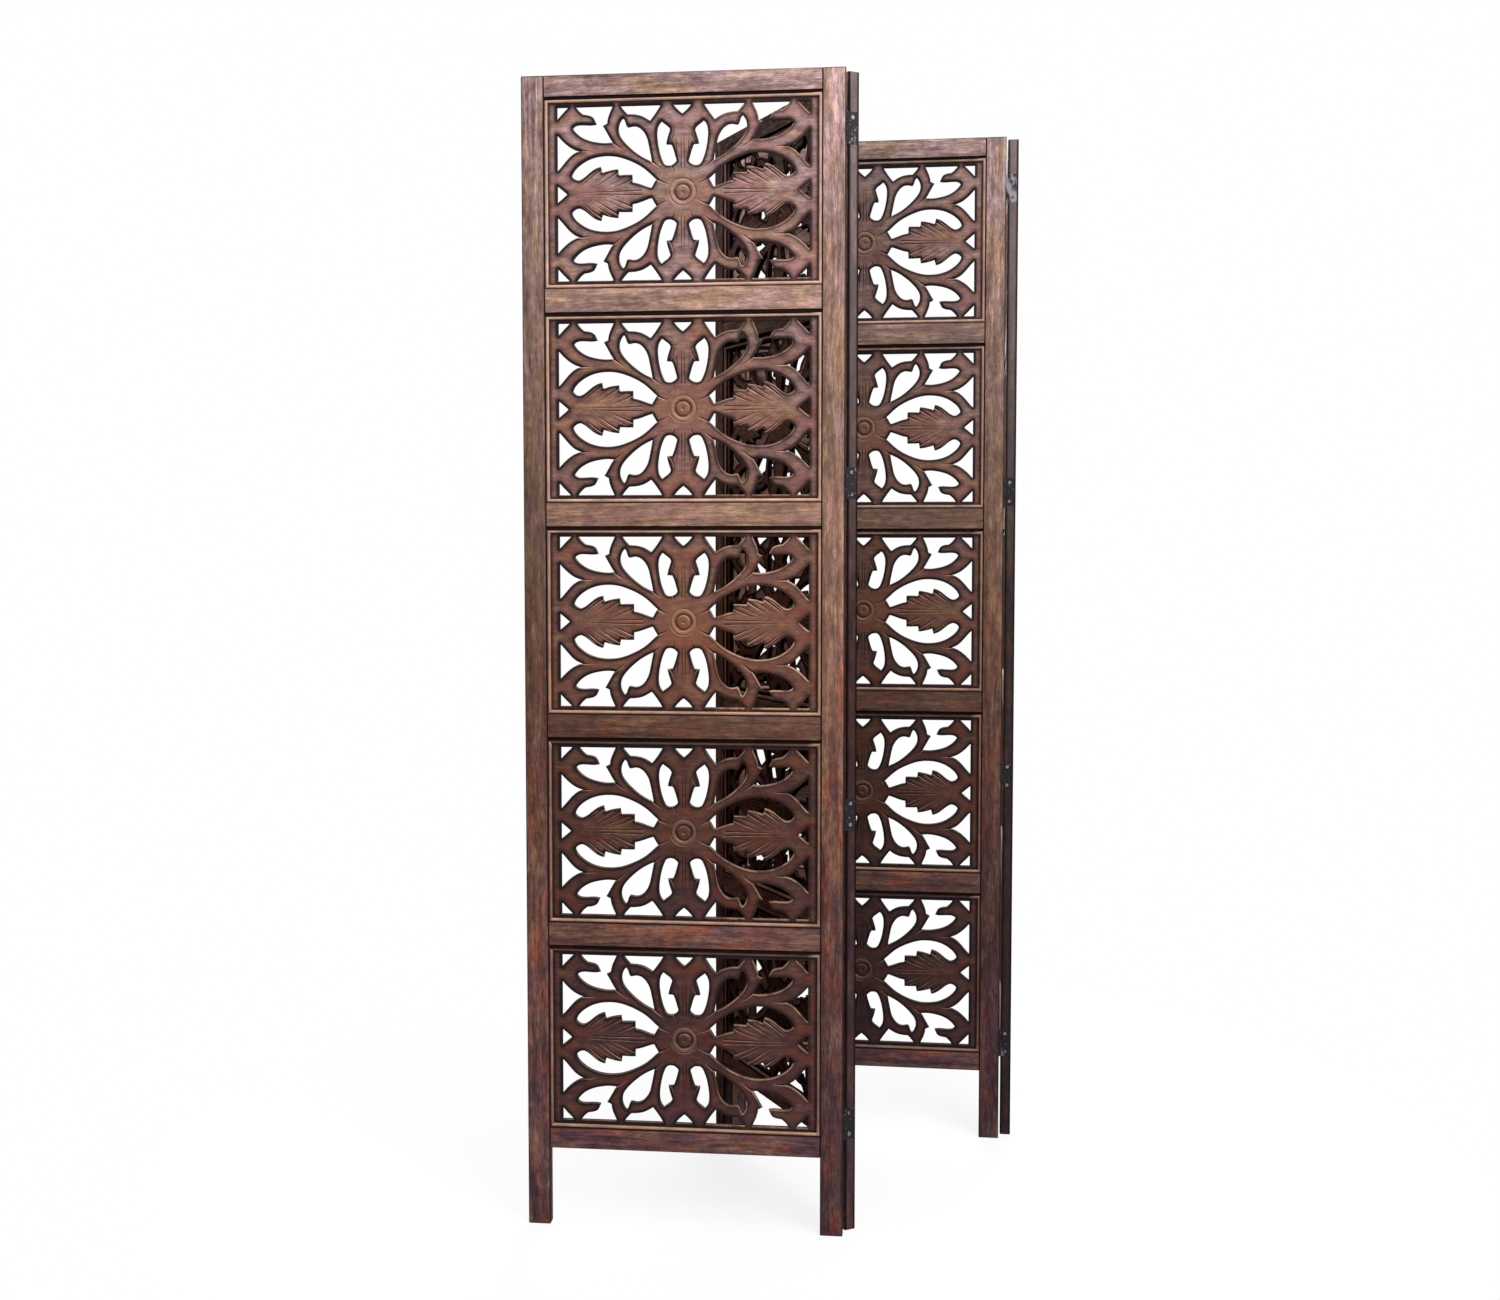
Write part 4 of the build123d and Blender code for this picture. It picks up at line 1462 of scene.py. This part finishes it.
class SCREEN_OT_hinges(bpy.types.Operator):
    """Finish the hinge leaves, pins and screws"""

    bl_idname = "screen.hinges"
    bl_label = "Hinges"

    def execute(self, context):
        iron, steel, zinc = finished(context.scene, *METALS)
        for name, node in NODES.items():
            finish = steel if name.startswith(BARE_FOLD) else iron
            if name.endswith("screws"):
                finish = zinc
            if "_hinge_" in name:
                for material_slot in node.material_slots:
                    material_slot.link = "OBJECT"
                    material_slot.material = finish
        return {"FINISHED"}


class SCREEN_OT_stage(bpy.types.Operator):
    """Lay the floor, hang the lights and place the camera"""

    bl_idname = "screen.stage"
    bl_label = "Stage"

    def execute(self, context):
        settings = context.scene.screen_stage
        lay_floor(settings)
        light_sky(context.scene, settings)
        for name, (place, size) in LAMPS.items():
            soft_lamp(f"{name}_light", place, size, getattr(settings, f"{name}_power"))
        place_camera(context.scene, settings)
        context.scene.view_settings.view_transform = "Standard"
        return {"FINISHED"}


def lay_floor(settings):
    """A pale floor that keeps the shadow near the screen and is plain white further off."""
    bm = bmesh.new()
    bmesh.ops.create_grid(bm, x_segments=1, y_segments=1, size=settings.floor_size / 2)
    floor = linked(bm, "floor")
    shader = Shader("pale_floor", settings.floor_colour)
    point = shader.object_point()
    away = shader.add("ShaderNodeVectorMath", {0: point}, operation="LENGTH").outputs["Value"]
    patches = shader.times(shader.noise(point, (3, 3, 3), 2), 0.1)
    shader.lay((settings.floor_mottle,) * 3, patches)
    seen = backdrop_rays(shader.tree)
    colour = shader.mix(settings.floor_bounce, shader.colour, seen)
    shader.feed(shader.surface.inputs["Base Color"], colour)
    shader.surface.inputs["Roughness"].default_value = 0.9
    shader.surface.inputs["Specular IOR Level"].default_value = 0.1
    white = shader.add("ShaderNodeEmission", {"Color": (1, 1, 1, 1), "Strength": 1.0})
    far = shader.times(seen, shader.remap(away, 0.2, 1.2, 0.8, 1.0))
    blend_shaders(shader.tree, far, shader.surface, white, "Material Output")
    floor.data.materials.append(shader.material)


def backdrop_rays(tree):
    """A value that is 1 on the camera's rays and on those that show in gloss or through glass."""
    paths = tree.nodes.new("ShaderNodeLightPath")
    seen = paths.outputs["Is Camera Ray"]
    for name in ("Is Glossy Ray", "Is Transmission Ray"):
        either = tree.nodes.new("ShaderNodeMath")
        either.operation = "MAXIMUM"
        tree.links.new(seen, either.inputs[0])
        tree.links.new(paths.outputs[name], either.inputs[1])
        seen = either.outputs[0]
    return seen


def blend_shaders(tree, factor, first, second, output):
    """Blends the shaders of two nodes and feeds the output node's surface."""
    both = tree.nodes.new("ShaderNodeMixShader")
    for socket, source in zip(both.inputs, (factor, first.outputs[0], second.outputs[0])):
        tree.links.new(source, socket)
    tree.links.new(both.outputs[0], tree.nodes[output].inputs["Surface"])


def light_sky(scene, settings):
    """An even sky, seen as plain white by the camera and in reflections."""
    world = bpy.data.worlds.new("studio")
    world.use_nodes = True
    soft = world.node_tree.nodes["Background"]
    white = world.node_tree.nodes.new("ShaderNodeBackground")
    for sky, strength in ((soft, settings.sky_strength), (white, 1.0)):
        sky.inputs["Color"].default_value = (1, 1, 1, 1)
        sky.inputs["Strength"].default_value = strength
    seen = backdrop_rays(world.node_tree)
    blend_shaders(world.node_tree, seen, soft, white, "World Output")
    scene.world = world


def soft_lamp(name, place, size, power):
    """A square soft light that faces the middle of the screen."""
    light = bpy.data.lights.new(name, "AREA")
    light.shape = "SQUARE"
    light.size = size
    light.energy = power
    lamp = bpy.data.objects.new(name, light)
    lamp.location = place
    aim = Vector((0, 0, TOP / 2)) - lamp.location
    lamp.rotation_euler = aim.to_track_quat("-Z", "Y").to_euler()
    bpy.context.scene.collection.objects.link(lamp)


def place_camera(scene, settings):
    """The camera that looks at the front of the screen."""
    data = bpy.data.cameras.new("camera")
    data.lens = settings.lens
    data.sensor_width = 36
    data.shift_x = settings.shift_x
    data.shift_y = settings.shift_y
    camera = bpy.data.objects.new("camera", data)
    camera.location = settings.camera_place
    camera.rotation_euler = (pi / 2 - settings.camera_pitch, 0, 0)
    scene.collection.objects.link(camera)
    scene.camera = camera


class SCREEN_PT_sidebar(bpy.types.Panel):
    """Lists the settings and the steps that build the screen"""

    bl_label = "Carved Screen"
    bl_space_type = "VIEW_3D"
    bl_region_type = "UI"
    bl_category = "Screen"

    def draw(self, context):
        for group in GROUPS:
            box = self.layout.box()
            box.label(text=group.bl_rna.name)
            settings = getattr(context.scene, group_property(group))
            for name in group.__annotations__:
                box.prop(settings, name)
        for step in STEPS:
            self.layout.operator(step.bl_idname)


GROUPS = (ScreenTones, ScreenTimbers, ScreenBeads, ScreenCarving, ScreenStage)
STEPS = (
    SCREEN_OT_stiles,
    SCREEN_OT_rails,
    SCREEN_OT_beading,
    SCREEN_OT_fretwork,
    SCREEN_OT_hinges,
    SCREEN_OT_stage,
)


def group_property(group):
    """The name under which a scene keeps a group of settings."""
    return "screen_" + group.__name__.removeprefix("Screen").lower()


def register():
    """Adds the classes, and a group of settings of each kind to every scene."""
    for item in GROUPS + STEPS + (SCREEN_PT_sidebar,):
        bpy.utils.register_class(item)
    for group in GROUPS:
        setattr(bpy.types.Scene, group_property(group), bpy.props.PointerProperty(type=group))


def unregister():
    """Takes away what register added."""
    for group in GROUPS:
        delattr(bpy.types.Scene, group_property(group))
    for item in reversed(GROUPS + STEPS + (SCREEN_PT_sidebar,)):
        bpy.utils.unregister_class(item)


def main():
    """Builds the screen."""
    register()
    bpy.ops.screen.stiles()
    bpy.ops.screen.rails()
    bpy.ops.screen.beading()
    bpy.ops.screen.fretwork()
    bpy.ops.screen.hinges()
    bpy.ops.screen.stage()


if __name__ == "__main__":
    main()
